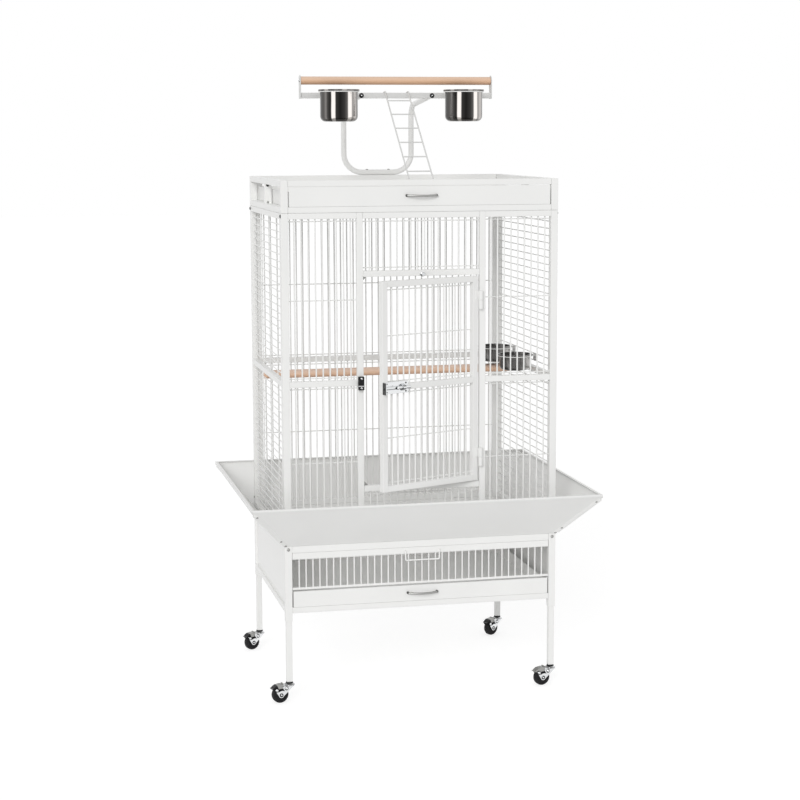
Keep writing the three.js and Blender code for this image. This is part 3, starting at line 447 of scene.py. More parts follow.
@dataclass(frozen=True)
class SpunSteel(Plate):
    """Polished spun bowls: their painted reflection bands run from rim to foot, round the bowl's own axis."""

    mark_stretch: Triple = (0.06, 0.06, 1.0)
    mark_scale: float = 900.0
    mark_depth: float = 0.03
    warp: float = 0.005
    dull_and_shade_level: float = 0.12
    front_degrees: float = -103.0
    rim_shift: float = 20.0
    rim_share: float = 0.93
    foot_share: float = 0.07
    # How far painted shade darkens the rolled rim and the foot, from 0 to 1.
    rim_and_foot_shade: float = 0.6

    def mark(self, mesh: bpy.types.Mesh) -> None:
        """Stores each point's turn about the bowl's axis and the painted shade of rim and foot; see
        Finish.mark.
        """
        xs, ys, zs = ([vertex.co[i] for vertex in mesh.vertices] for i in range(3))
        centre = Vector(((min(xs) + max(xs)) / 2, (min(ys) + max(ys)) / 2))
        rim = self.rim_share * (max(xs) - min(xs)) / 2
        foot = min(zs) + self.foot_share * (max(zs) - min(zs))
        values: list[float] = []
        for x, y, z in zip(xs, ys, zs):
            spoke = Vector((x, y)) - centre
            on_rim = spoke.length > rim
            shift = self.rim_shift if on_rim else 0.0
            turn = math.atan2(spoke.y, spoke.x) + math.radians(shift - self.front_degrees)
            # Painted shade on the rolled rim and the foot.
            painted_rim_shade = self.rim_and_foot_shade if on_rim or z < foot else 0.0
            values += [math.cos(turn), math.sin(turn), painted_rim_shade]
        made = mesh.attributes.new("spin", "FLOAT_VECTOR", "POINT")
        made.data.foreach_set("vector", values)

    def band_place(self, graph: Graph) -> Wire:
        """The place round the bowl from 0 to 1, with its front at 0.5."""
        parts = graph.node("ShaderNodeSeparateXYZ", sockets={0: graph.stored("spin")})
        angle = graph.node("ShaderNodeMath", {"operation": "ARCTAN2"}, {0: parts["Y"], 1: parts["X"]})[0]
        return angle * (0.5 / math.pi) + 0.5

    def dulling_and_shade(self, graph: Graph, smudge: Wire) -> Wire:
        """The rolled rim and the foot get painted shade, read from the stored spin, instead of smudges."""
        return graph.height_of(graph.stored("spin"))


@dataclass(frozen=True)
class TurnedWood(Finish):
    """Bare hardwood dowel with its grain along X, painted darker below and paler on top as shade and light.
    """

    grain_scale: float = 320.0

    def mark(self, mesh: bpy.types.Mesh) -> None:
        """Stores which way each face looks; see Finish.mark."""
        store_facing(mesh)

    def shade(self, graph: Graph, place: Wire) -> Wire:
        """Builds the wood's shader; see Finish.shade."""
        grain = graph.noise(graph.stretch(place, (0.03, 1.0, 1.0)), self.grain_scale, 5.0)
        band = graph.noise(graph.stretch(place, (0.08, 1.0, 1.0)), self.grain_scale / 8)
        pores = graph.noise(graph.stretch(place, (0.06, 1.0, 1.0)), self.grain_scale * 5)
        stops = [(0.3, self.tint(0.93)), (0.5, self.tint(1.0)), (0.7, self.tint(1.04))]
        tone = graph.ramp(grain * 0.5 + band * 0.5, stops)
        speck = graph.ramp(pores, [(0.3, (0, 0, 0, 1)), (0.4, (1, 1, 1, 1))])
        # Painted shade and light: faces looking down are painted darker and browner, faces looking up paler
        # and bluer.
        up = graph.height_of(graph.stored("facing"))
        side = graph.ramp(up * 0.5 + 0.5, [
            (0.1, (0.86, 0.77, 0.7, 1)), (0.42, (1.0, 0.94, 0.87, 1)), (0.62, (1.0, 1.0, 1.0, 1)),
            (0.95, (0.98, 1.04, 1.12, 1)),
        ])
        flecked = graph.mix_colour(speck, self.tint(0.88), tone)
        return graph.principled({
            "Base Color": graph.mix_colour(1.0, flecked, side, "MULTIPLY"),
            "Roughness": grain * 0.15 + (self.roughness - 0.07),
            "Normal": graph.bump(pores * 0.5 + grain * 0.5, 0.2, 0.0002),
        })


@dataclass(frozen=True)
class Moulded(Finish):
    """Moulded rubber or plastic with a fine matt skin."""

    skin_scale: float = 900.0

    def shade(self, graph: Graph, place: Wire) -> Wire:
        """Builds the moulding's shader; see Finish.shade."""
        dust = graph.noise(place, 40.0, 4.0)
        return graph.principled({
            "Base Color": graph.mix_colour(dust, self.tint(0.8), self.tint(1.5)),
            "Roughness": dust * 0.2 + (self.roughness - 0.1),
            "Specular IOR Level": 0.2,
            "Normal": graph.bump(graph.noise(place, self.skin_scale), 0.2, 0.0002),
        })


def round_bowl(*reflection_bands: Pair) -> tuple[Pair, ...]:
    """Turns painted reflection bands, given in degrees from a bowl's front, into places from 0 to 1."""
    return tuple((degrees / 360 + 0.5, level) for degrees, level in reflection_bands)


# Painted reflections for chrome and plating, from facing down to facing up; each level is a brightness.
CHROME_REFLECTIONS = (
    (0.0, 0.5), (0.14, 0.22), (0.26, 0.08), (0.36, 0.3), (0.44, 0.8), (0.55, 1.0), (0.66, 0.95), (0.74, 0.4),
    (0.81, 0.12), (0.88, 0.45), (0.94, 0.9), (1.0, 1.0),
)
SOFT_REFLECTIONS = ((0.0, 0.12), (0.3, 0.3), (0.46, 0.85), (0.6, 1.0))
# Painted reflections round the open bowls, in degrees from their front; levels above 1 are painted
# highlights.
BOWL_REFLECTIONS = round_bowl(
    (-180, 0.1), (-150, 0.6), (-135, 0.95), (-120, 0.5), (-100, 0.1), (-84, 0.035), (-66, 0.07), (-50, 0.13),
    (-41, 0.3), (-36, 0.1), (-28, 0.035), (-22.5, 0.05), (-20.5, 1.25), (-10, 1.25), (-8, 0.05), (6, 0.018),
    (20, 0.05), (30, 0.16), (32.5, 1.25), (43.5, 1.25), (46.5, 0.4), (53, 0.5), (60, 0.75), (67, 0.45),
    (74, 0.14), (88, 0.1), (115, 0.9), (135, 0.35), (155, 0.06), (180, 0.1),
)
# Painted reflections round the cups in the cage, kept darker as painted shade of the cage.
SHADED_BOWL_REFLECTIONS = round_bowl(
    (-180, 0.06), (-120, 0.05), (-90, 0.06), (-55, 0.07), (-38, 0.12), (-30, 0.34), (-22, 0.14), (0, 0.17),
    (18, 0.22), (32, 0.36), (50, 0.55), (66, 0.72), (80, 0.4), (90, 0.1), (125, 0.05), (150, 0.25),
    (165, 0.07), (180, 0.06),
)
ENAMEL = PowderCoat("white_enamel", "white_enamel", (0.88, 0.88, 0.867), 0.36)
# A darker copy of the white enamel: painted shade on the gym's crossbar and ladder.
SHADED_ENAMEL = PowderCoat("painted_shade_enamel", "white_enamel", (0.71, 0.71, 0.70), 0.42)
CHROME = Plate("chrome", "chrome", (0.83, 0.84, 0.85), 0.13, CHROME_REFLECTIONS)
BRIGHT = Plate("bright_chrome", "chrome", (0.83, 0.84, 0.85), 0.2, SOFT_REFLECTIONS)
ZINC = Plate("zinc", "chrome", (0.36, 0.36, 0.35), 0.38)
SHADED = Plate("shaded_chrome", "chrome", (0.1, 0.1, 0.095), 0.3)
STEEL = SpunSteel("polished_steel", "stainless", (0.79, 0.75, 0.72), 0.12, BOWL_REFLECTIONS)
# Steel for the cups in the cage: darker painted reflections and deeper painted shade on rim and foot.
SHADED_BOWL_STEEL = SpunSteel(
    "painted_shade_bowl_steel", "stainless", (0.79, 0.77, 0.75), 0.24, SHADED_BOWL_REFLECTIONS, warp=0.03, dull_and_shade_level=0.05
)
WOOD = TurnedWood("perch_wood", "wood", (0.79, 0.54, 0.38), 0.58)
PALE_WOOD = TurnedWood("pale_perch_wood", "wood", (0.9, 0.64, 0.49), 0.58)
TYRE = Moulded("black_tyre", "black_rubber", (0.011, 0.011, 0.012), 0.6)
BLACK = Moulded("black_plastic", "black_plastic", (0.008, 0.008, 0.009), 0.42)


# Mesh making


def rounded_route(corners: Sequence[Sequence[float]], radius: float, steps: int) -> list[Vector]:
    """Rounds the inner corners of a route with arcs.

    Args:
        corners: the route's corners.
        radius: the bends' radius.
        steps: the steps of each bend.

    Returns:
        The points along the rounded route.
    """
    corners = [Vector(corner) for corner in corners]
    route = [corners[0]]
    for before, corner, after in zip(corners, corners[1:], corners[2:]):
        back = (before - corner).normalized()
        ahead = (after - corner).normalized()
        half_angle = back.angle(ahead) / 2
        centre = corner + (back + ahead).normalized() * (radius / math.sin(half_angle))
        spoke = corner + back * (radius / math.tan(half_angle)) - centre
        turn_axis = (-back).cross(ahead).normalized()
        sweep = math.pi - 2 * half_angle
        route += [centre + Matrix.Rotation(sweep * i / steps, 3, turn_axis) @ spoke for i in range(steps + 1)]
    route.append(corners[-1])
    return route


def arc(centre: Sequence[float], radius: float, start: float, end: float, steps: int) -> list[Vector]:
    """Points along a flat arc about a centre, from one angle in degrees to another."""
    angles = [math.radians(start + (end - start) * i / steps) for i in range(steps + 1)]
    return [Vector((centre[0] + radius * math.cos(a), centre[1] + radius * math.sin(a))) for a in angles]


def axis_matrix(axis: Axis, centre: Sequence[float]) -> Matrix:
    """A matrix that stands +Z along an axis at a centre.

    Args:
        axis: the way the solid stands.
        centre: its foot.

    Returns:
        The placing matrix.
    """
    turns = {
        Axis.X: Matrix.Rotation(math.pi / 2, 4, "Y"),
        Axis.Y: Matrix.Rotation(-math.pi / 2, 4, "X"),
        Axis.Z: Matrix.Identity(4),
        Axis.FRONT: Matrix.Rotation(math.pi / 2, 4, "X"),
    }
    return Matrix.Translation(Vector(centre)) @ turns[axis]


def side_plane(y_back: float) -> Matrix:
    """A plate's place with its own X along X and its own Y up; it runs to the front from y_back."""
    turn = Matrix(((1, 0, 0, 0), (0, 0, -1, 0), (0, 1, 0, 0), (0, 0, 0, 1)))
    return Matrix.Translation((0, y_back, 0)) @ turn


def end_plane(x_left: float) -> Matrix:
    """A plate's place with its own X along Y and its own Y up; it runs to the right from x_left."""
    return Matrix(((0, 0, 1, x_left), (1, 0, 0, 0), (0, 1, 0, 0), (0, 0, 0, 1)))


def mirrored(side: int, near: float, far: float) -> Pair:
    """Two distances from the middle as places on one side of it, in rising order."""
    low, high = sorted((side * near, side * far))
    return low, high


def rod(radius: float, low: float, high: float, chamfer: float = 0.0) -> list[Pair]:
    """A round rod's profile.

    Args:
        radius: its radius.
        low: its lower end.
        high: its upper end.
        chamfer: how much its edges are broken, or 0.

    Returns:
        The profile, ready for Solids.revolve.
    """
    if not chamfer:
        return [(0, low), (radius, low), (radius, high), (0, high)]
    ends = [(0, low), (radius - chamfer, low), (radius, low + chamfer)]
    return ends + [(radius, high - chamfer), (radius - chamfer, high), (0, high)]


class Solids:
    """Closed solids gathered for one piece, in millimetres."""

    def __init__(self) -> None:
        """Starts with nothing."""
        self.points: list[Vector] = []
        self.faces: list[tuple[int, ...]] = []

    def add(
        self, points: Sequence[Vector], faces: Sequence[tuple[int, ...]], place: Matrix | None = None
    ) -> None:
        """Adds a solid.

        Args:
            points: its corners.
            faces: its faces, outwards.
            place: where it goes, or None.
        """
        start = len(self.points)
        self.points.extend((place @ p if place else p) for p in points)
        self.faces.extend(tuple(start + i for i in face) for face in faces)

    def block(self, low: Sequence[float], high: Sequence[float]) -> None:
        """Adds a box.

        Args:
            low: its lowest corner.
            high: its highest corner.
        """
        (x0, y0, z0), (x1, y1, z1) = low, high
        corners = [Vector((x, y, z)) for z in (z0, z1) for y in (y0, y1) for x in (x0, x1)]
        faces = [(0, 2, 3, 1), (4, 5, 7, 6), (0, 1, 5, 4), (2, 6, 7, 3), (0, 4, 6, 2), (1, 3, 7, 5)]
        self.add(corners, faces)

    def sweep(self, route: Sequence[Vector], radius: float, sides: int = 20, closed: bool = False) -> None:
        """Adds a round tube along a route.

        Args:
            route: the points that its middle follows.
            radius: its radius.
            sides: its sides.
            closed: whether it runs round to its start.
        """
        count = len(route)
        ways = []
        for i in range(count):
            before = route[i - 1] if i or closed else route[i]
            after = route[(i + 1) % count] if i < count - 1 or closed else route[i]
            ways.append((after - before).normalized())
        side = ways[0].orthogonal().normalized()
        points = []
        for i, way in enumerate(ways):
            if i:
                side = (ways[i - 1].rotation_difference(way) @ side).normalized()
            across = way.cross(side)
            for k in range(sides):
                angle = 2 * math.pi * k / sides
                points.append(route[i] + radius * (math.cos(angle) * side + math.sin(angle) * across))
        faces = []
        for i in range(count if closed else count - 1):
            here, there = i * sides, (i + 1) % count * sides
            for k in range(sides):
                nxt = (k + 1) % sides
                faces.append((here + k, here + nxt, there + nxt, there + k))
        if not closed:
            faces += [tuple(reversed(range(sides))), tuple(range((count - 1) * sides, count * sides))]
        self.add(points, faces)

    def revolve(self, profile: Sequence[Sequence[float]], place: Matrix, facets: int = 48) -> None:
        """Adds a turned solid.

        Args:
            profile: radius and height from the lower end of the axis, round the outside, to the upper end.
            place: where it goes; its axis is Z.
            facets: its facets.
        """
        points: list[Vector] = []
        rings: list[list[int]] = []
        for radius, height in profile:
            if radius == 0:
                rings.append([len(points)] * facets)
                points.append(Vector((0, 0, height)))
            else:
                rings.append([len(points) + k for k in range(facets)])
                for k in range(facets):
                    angle = 2 * math.pi * k / facets
                    points.append(Vector((radius * math.cos(angle), radius * math.sin(angle), height)))
        faces = []
        for lower, upper in zip(rings, rings[1:]):
            for k in range(facets):
                nxt = (k + 1) % facets
                faces.append(tuple(dict.fromkeys((lower[k], lower[nxt], upper[nxt], upper[k]))))
        self.add(points, faces, place)

    def prism(self, outline: Sequence[Sequence[float]], depth: float, place: Matrix) -> None:
        """Adds a plate with a given outline.

        Args:
            outline: its corners, anticlockwise, in the plate's own X, Y plane.
            depth: its thickness along the plate's own Z.
            place: where it goes.
        """
        count = len(outline)
        points = [Vector((p[0], p[1], z)) for z in (0.0, depth) for p in outline]
        faces = [tuple(reversed(range(count))), tuple(range(count, 2 * count))]
        faces += [(i, (i + 1) % count, count + (i + 1) % count, count + i) for i in range(count)]
        self.add(points, faces, place)


# Geometry Nodes


@dataclass(frozen=True)
class BarRow:
    """A row of alike round bars: where the first starts, the step to the next, and how each runs."""

    first: Triple
    step: Triple
    run: Triple
    count: int
    radius: float


@dataclass(frozen=True)
class Head:
    """A kind of screw or bolt head: its radius, the height of its edge under the dome, and its finish."""

    radius: float
    height: float
    finish: Finish


BLACK_BOLT = Head(4.6, 2.6, BLACK)
BOX_BOLT = Head(4.0, 2.0, BLACK)
ARM_WASHER = Head(6.6, 2.6, BLACK)
ARM_BOLT = Head(2.2, 1.2, CHROME)
FOOT_BOLT = Head(4.4, 1.8, ZINC)
STAND_BOLT = Head(4.4, 1.6, ZINC)
PLATED_SCREW = Head(3.6, 1.6, ZINC)
SKIRT_SCREW = Head(3.6, 1.4, ZINC)
BOX_SCREW = Head(3.2, 1.4, ZINC)
BRIGHT_SCREW = Head(4.0, 1.6, CHROME)
KEEPER_SCREW = Head(3.2, 1.0, CHROME)
LATCH_SCREW = Head(2.4, 0.8, SHADED)


class RepeatTree:
    """A Geometry Nodes tree, made once, that objects use through a modifier with named inputs."""

    label: str
    named_inputs: tuple[tuple[str, str], ...]
    keeps_base: bool

    def __init__(self) -> None:
        """Makes the tree and its inputs."""
        self.tree = bpy.data.node_groups.new(self.label, "GeometryNodeTree")
        self.graph = Graph(self.tree)
        interface = self.tree.interface
        interface.new_socket(name="Geometry", in_out="OUTPUT", socket_type="NodeSocketGeometry")
        self.identifiers: dict[str, str] = {}
        for label, kind in [("Geometry", "Geometry"), *self.named_inputs, ("Finish", "Material")]:
            made = interface.new_socket(name=label, in_out="INPUT", socket_type=f"NodeSocket{kind}")
            self.identifiers[label] = made.identifier
        self.inputs = self.graph.node("NodeGroupInput")
        repeated = self.lay_out()
        whole = self.graph.join(self.inputs["Geometry"], repeated) if self.keeps_base else repeated
        real = self.graph.node("GeometryNodeRealizeInstances", sockets={0: whole})
        sockets = {"Geometry": real[0], "Material": self.inputs["Finish"]}
        coated = self.graph.node("GeometryNodeSetMaterial", sockets=sockets)
        self.graph.node("NodeGroupOutput", sockets={0: coated[0]})

    def lay_out(self) -> Wire:
        """Adds the nodes that repeat the part, and gives the repeated geometry."""
        raise NotImplementedError

    def instances(self, part: Wire, sockets: dict[str, Wire]) -> Wire:
        """Puts a smooth part on every point; the sockets give the points and the part's turn."""
        smooth = self.graph.node("GeometryNodeSetShadeSmooth", sockets={0: part})
        return self.graph.node("GeometryNodeInstanceOnPoints", sockets={"Instance": smooth[0], **sockets})[0]

    def use(self, target: bpy.types.Object, values: dict[str, Any]) -> None:
        """Adds the tree to an object.

        Args:
            target: the object.
            values: each input's value, by its name.
        """
        modifier = target.modifiers.new(self.tree.name, "NODES")
        modifier.node_group = self.tree
        for label, value in values.items():
            modifier[self.identifiers[label]] = value


class BarRowTree(RepeatTree):
    """Round bars at one pitch, joined to the frame that holds them."""

    label = "bar_row"
    named_inputs = (
        ("Count", "Int"), ("First", "Vector"), ("Step", "Vector"), ("Run", "Vector"), ("Radius", "Float"),
    )
    keeps_base = True
    sides = 12

    def lay_out(self) -> Wire:
        """Adds the bars; see RepeatTree.lay_out."""
        graph, given = self.graph, self.inputs
        sockets = {"Count": given["Count"], "Start Location": given["First"], "Offset": given["Step"]}
        seats = graph.node("GeometryNodeMeshLine", {"mode": "OFFSET"}, sockets)
        middle = graph.node("GeometryNodeCurvePrimitiveLine", sockets={"End": given["Run"]})
        sockets = {"Resolution": self.sides, "Radius": given["Radius"]}
        section = graph.node("GeometryNodeCurvePrimitiveCircle", sockets=sockets)
        sockets = {"Curve": middle[0], "Profile Curve": section[0], "Fill Caps": True}
        bar = graph.node("GeometryNodeCurveToMesh", sockets=sockets)
        return self.instances(bar[0], {"Points": seats[0]})

    def add_row(self, target: bpy.types.Object, row: BarRow, finish: bpy.types.Material) -> None:
        """Adds one row of bars of a material to an object."""
        values = {"Count": row.count, "First": row.first, "Step": row.step, "Run": row.run}
        self.use(target, {**values, "Radius": row.radius, "Finish": finish})


class HeadTree(RepeatTree):
    """Domed screw heads on the points of a mesh, which itself isn't kept."""

    label = "screw_heads"
    named_inputs = (("Facing", "Vector"), ("Radius", "Float"), ("Height", "Float"))
    keeps_base = False
    dome_scale = (0.96, 0.96, 0.34)

    def lay_out(self) -> Wire:
        """Adds the heads; see RepeatTree.lay_out."""
        graph, given = self.graph, self.inputs
        sockets = {"Vertices": 24, "Radius": given["Radius"], "Depth": given["Height"]}
        rim = graph.node("GeometryNodeMeshCylinder", sockets=sockets)
        sockets = {"Segments": 24, "Rings": 12, "Radius": given["Radius"]}
        dome = graph.node("GeometryNodeMeshUVSphere", sockets=sockets)
        lift = graph.node("ShaderNodeCombineXYZ", sockets={"Z": given["Height"] * 0.5})
        sockets = {"Geometry": dome[0], "Scale": self.dome_scale, "Translation": lift[0]}
        low = graph.node("GeometryNodeTransform", sockets=sockets)
        turn = graph.node("FunctionNodeAlignRotationToVector", {"axis": "Z"}, {"Vector": given["Facing"]})
        head = graph.join(rim[0], low[0])
        return self.instances(head, {"Points": given["Geometry"], "Rotation": turn[0]})


# The workshop that turns solids into finished pieces


def stand_object(name: str, data: bpy.types.ID) -> bpy.types.Object:
    """Makes an object and puts it in the scene.

    Args:
        name: its name.
        data: its mesh, lamp or camera.

    Returns:
        The object.
    """
    target = bpy.data.objects.new(name, data)
    bpy.context.scene.collection.objects.link(target)
    return target


@dataclass
class Workshop:
    """Makes pieces in the frame: it holds the materials, the trees and the cage's place."""

    sizes: CageSizes
    to_frame: Matrix
    materials: dict[str, bpy.types.Material] = field(default_factory=dict)
    bars: BarRowTree = field(default_factory=BarRowTree)
    heads: HeadTree = field(default_factory=HeadTree)

    def material(self, finish: Finish) -> bpy.types.Material:
        """Gives a finish's material, building it the first time."""
        if finish.name not in self.materials:
            self.materials[finish.name] = finish.build()
        return self.materials[finish.name]

    def piece(
        self, name: str, body: str, solids: Solids, finish: Finish, node: str | None = None,
        edge: float = 0.0, rows: Sequence[BarRow] = (), place: Matrix | None = None,
    ) -> None:
        """Finishes one piece and sets it on its body.

        Args:
            name: the piece's name.
            body: the body that it rides on.
            solids: its solids, in millimetres.
            finish: its finish.
            node: the frame's node that it stands for, or None.
            edge: the rounding of its sharp edges, or 0.
            rows: rows of round bars that it holds.
            place: a turn or shift of the whole piece, in millimetres, or None.
        """
        mesh = bpy.data.meshes.new(name)
        mesh.from_pydata([p[:] for p in solids.points], [], solids.faces)
        target = self.coat(name, mesh, finish)
        if edge:
            self.round_edges(target, edge)
        for row in rows:
            self.bars.add_row(target, row, self.material(finish))
        self.settle(target, body, finish, node, self.to_frame @ (place or Matrix.Identity(4)))

    def softened(self, node: str, body: str, finish: Finish, edge: float) -> None:
        """Copies a node of the frame and rounds its edges.

        Args:
            node: the node.
            body: the body that it rides on.
            finish: its finish.
            edge: the rounding, in millimetres.
        """
        mesh = bpy.data.objects[node].data.copy()
        shape = bmesh.new()
        shape.from_mesh(mesh)
        bmesh.ops.remove_doubles(shape, verts=shape.verts, dist=MILLIMETRE / 100)
        bmesh.ops.dissolve_limit(shape, angle_limit=math.radians(1), verts=shape.verts, edges=shape.edges)
        shape.to_mesh(mesh)
        shape.free()
        mesh.materials.clear()
        target = self.coat(f"{node}_finished", mesh, finish)
        self.round_edges(target, edge * MILLIMETRE)
        self.settle(target, body, finish, node, Matrix.Identity(4))

    def coat(self, name: str, mesh: bpy.types.Mesh, finish: Finish) -> bpy.types.Object:
        """Gives a mesh its material and smooth shading, and makes its object.

        Args:
            name: the object's name.
            mesh: the mesh.
            finish: its finish.

        Returns:
            The object.
        """
        mesh.materials.append(self.material(finish))
        mesh.shade_smooth()
        mesh.set_sharp_from_angle(angle=SMOOTH_BELOW)
        return stand_object(name, mesh)

    def fasten(
        self, name: str, head: Head, seats: Sequence[Triple], facing: Triple, body: str = "cage",
        place: Matrix | None = None,
    ) -> None:
        """Makes alike screw heads as one piece.

        Args:
            name: the piece's name.
            head: the kind of head.
            seats: where they sit.
            facing: the way they face.
            body: the body that they ride on.
            place: a turn or shift of them all, in millimetres, or None.
        """
        mesh = bpy.data.meshes.new(name)
        mesh.from_pydata(list(seats), [], [])
        target = stand_object(name, mesh)
        values = {"Facing": facing, "Radius": head.radius, "Height": head.height}
        self.heads.use(target, {**values, "Finish": self.material(head.finish)})
        self.settle(target, body, head.finish, None, self.to_frame @ (place or Matrix.Identity(4)))

    @staticmethod
    def round_edges(target: bpy.types.Object, width: float) -> None:
        """Rounds an object's sharp edges.

        Args:
            target: the object.
            width: the rounding in the object's own units.
        """
        bevel = target.modifiers.new("rounded edges", "BEVEL")
        bevel.width = width
        bevel.segments = 2
        bevel.limit_method = "ANGLE"
        bevel.angle_limit = math.radians(50)
        bevel.use_clamp_overlap = True
        target.modifiers.new("flat faces", "WEIGHTED_NORMAL").keep_sharp = False

    @staticmethod
    def settle(target: bpy.types.Object, body: str, finish: Finish, node: str | None, place: Matrix) -> None:
        """Applies an object's modifiers and place, and sets it on its body.

        Args:
            target: the object.
            body: the body.
            finish: its finish.
            node: the frame's node that it stands for, or None.
            place: its place in the frame.
        """
        if target.modifiers:
            graph = bpy.context.evaluated_depsgraph_get()
            graph.update()
            plain = bpy.data.meshes.new_from_object(target.evaluated_get(graph))
            target.modifiers.clear()
            target.data = plain
        target.data.transform(place)
        finish.mark(target.data)
        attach(target, body)
        if node:
            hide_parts(node)
        LOG.info("%s: %d faces", target.name, len(target.data.polygons))


def bar_field(start: Triple, end: Triple, pitch: float, run: Triple, radius: float) -> BarRow:
    """Spreads bars at one pitch across a field, centred in it.

    Args:
        start: the bars' feet at the field's first side.
        end: their feet at its other side.
        pitch: the bars' spacing.
        run: how each bar runs from its foot.
        radius: the bars' radius.

    Returns:
        The row.
    """
    across = Vector(end) - Vector(start)
    count = max(1, int(across.length / pitch))
    step = across.normalized() * pitch
    first = (Vector(start) + Vector(end) - step * (count - 1)) / 2
    return BarRow(tuple(first), tuple(step), run, count, radius)


@dataclass(frozen=True)
class BarredPanel:
    """An upright frame of tubes that holds upright bars, with level wires on one side of them.

    Each pair is a lower and an upper end: x of the frame's outer and of its inner edges, y of its faces, and
    the heights of each level rail, from the bottom up.
    """

    outer: Pair
    inner: Pair
    depth: Pair
    rails: tuple[Pair, ...]
    wires: Sequence[float]
    wire_side: int = 1

    @property
    def fields(self) -> list[Pair]:
        """The heights between one rail and the next."""
        return [(lower[1], upper[0]) for lower, upper in zip(self.rails, self.rails[1:])]

    def frame(self) -> Solids:
        """Builds the tubes.

        Returns:
            The stiles, where there are any, and the rails between them.
        """
        solids = Solids()
        y0, y1 = self.depth
        for edges in zip(self.outer, self.inner):
            if edges[0] != edges[1]:
                solids.block((min(edges), y0, self.rails[0][0]), (max(edges), y1, self.rails[-1][1]))
        for z0, z1 in self.rails:
            solids.block((self.inner[0], y0, z0), (self.inner[1], y1, z1))
        return solids

    def bars(self, sizes: CageSizes) -> list[BarRow]:
        """Lays out the bars and the wires.

        Args:
            sizes: the cage's sizes.

        Returns:
            A row of bars for each field, and one for each wire.
        """
        (x0, x1), y = self.inner, sum(self.depth) / 2
        wire_y = y + self.wire_side * (sizes.bar + sizes.wire) / 2
        rows = [
            bar_field((x0, y, z0), (x1, y, z0), sizes.bar_pitch, (0, 0, z1 - z0), sizes.bar / 2)
            for z0, z1 in self.fields
        ]
        rows += [BarRow((x0, wire_y, z), (0, 0, 1), (x1 - x0, 0, 0), 1, sizes.wire / 2) for z in self.wires]
        return rows


# The cage's walls


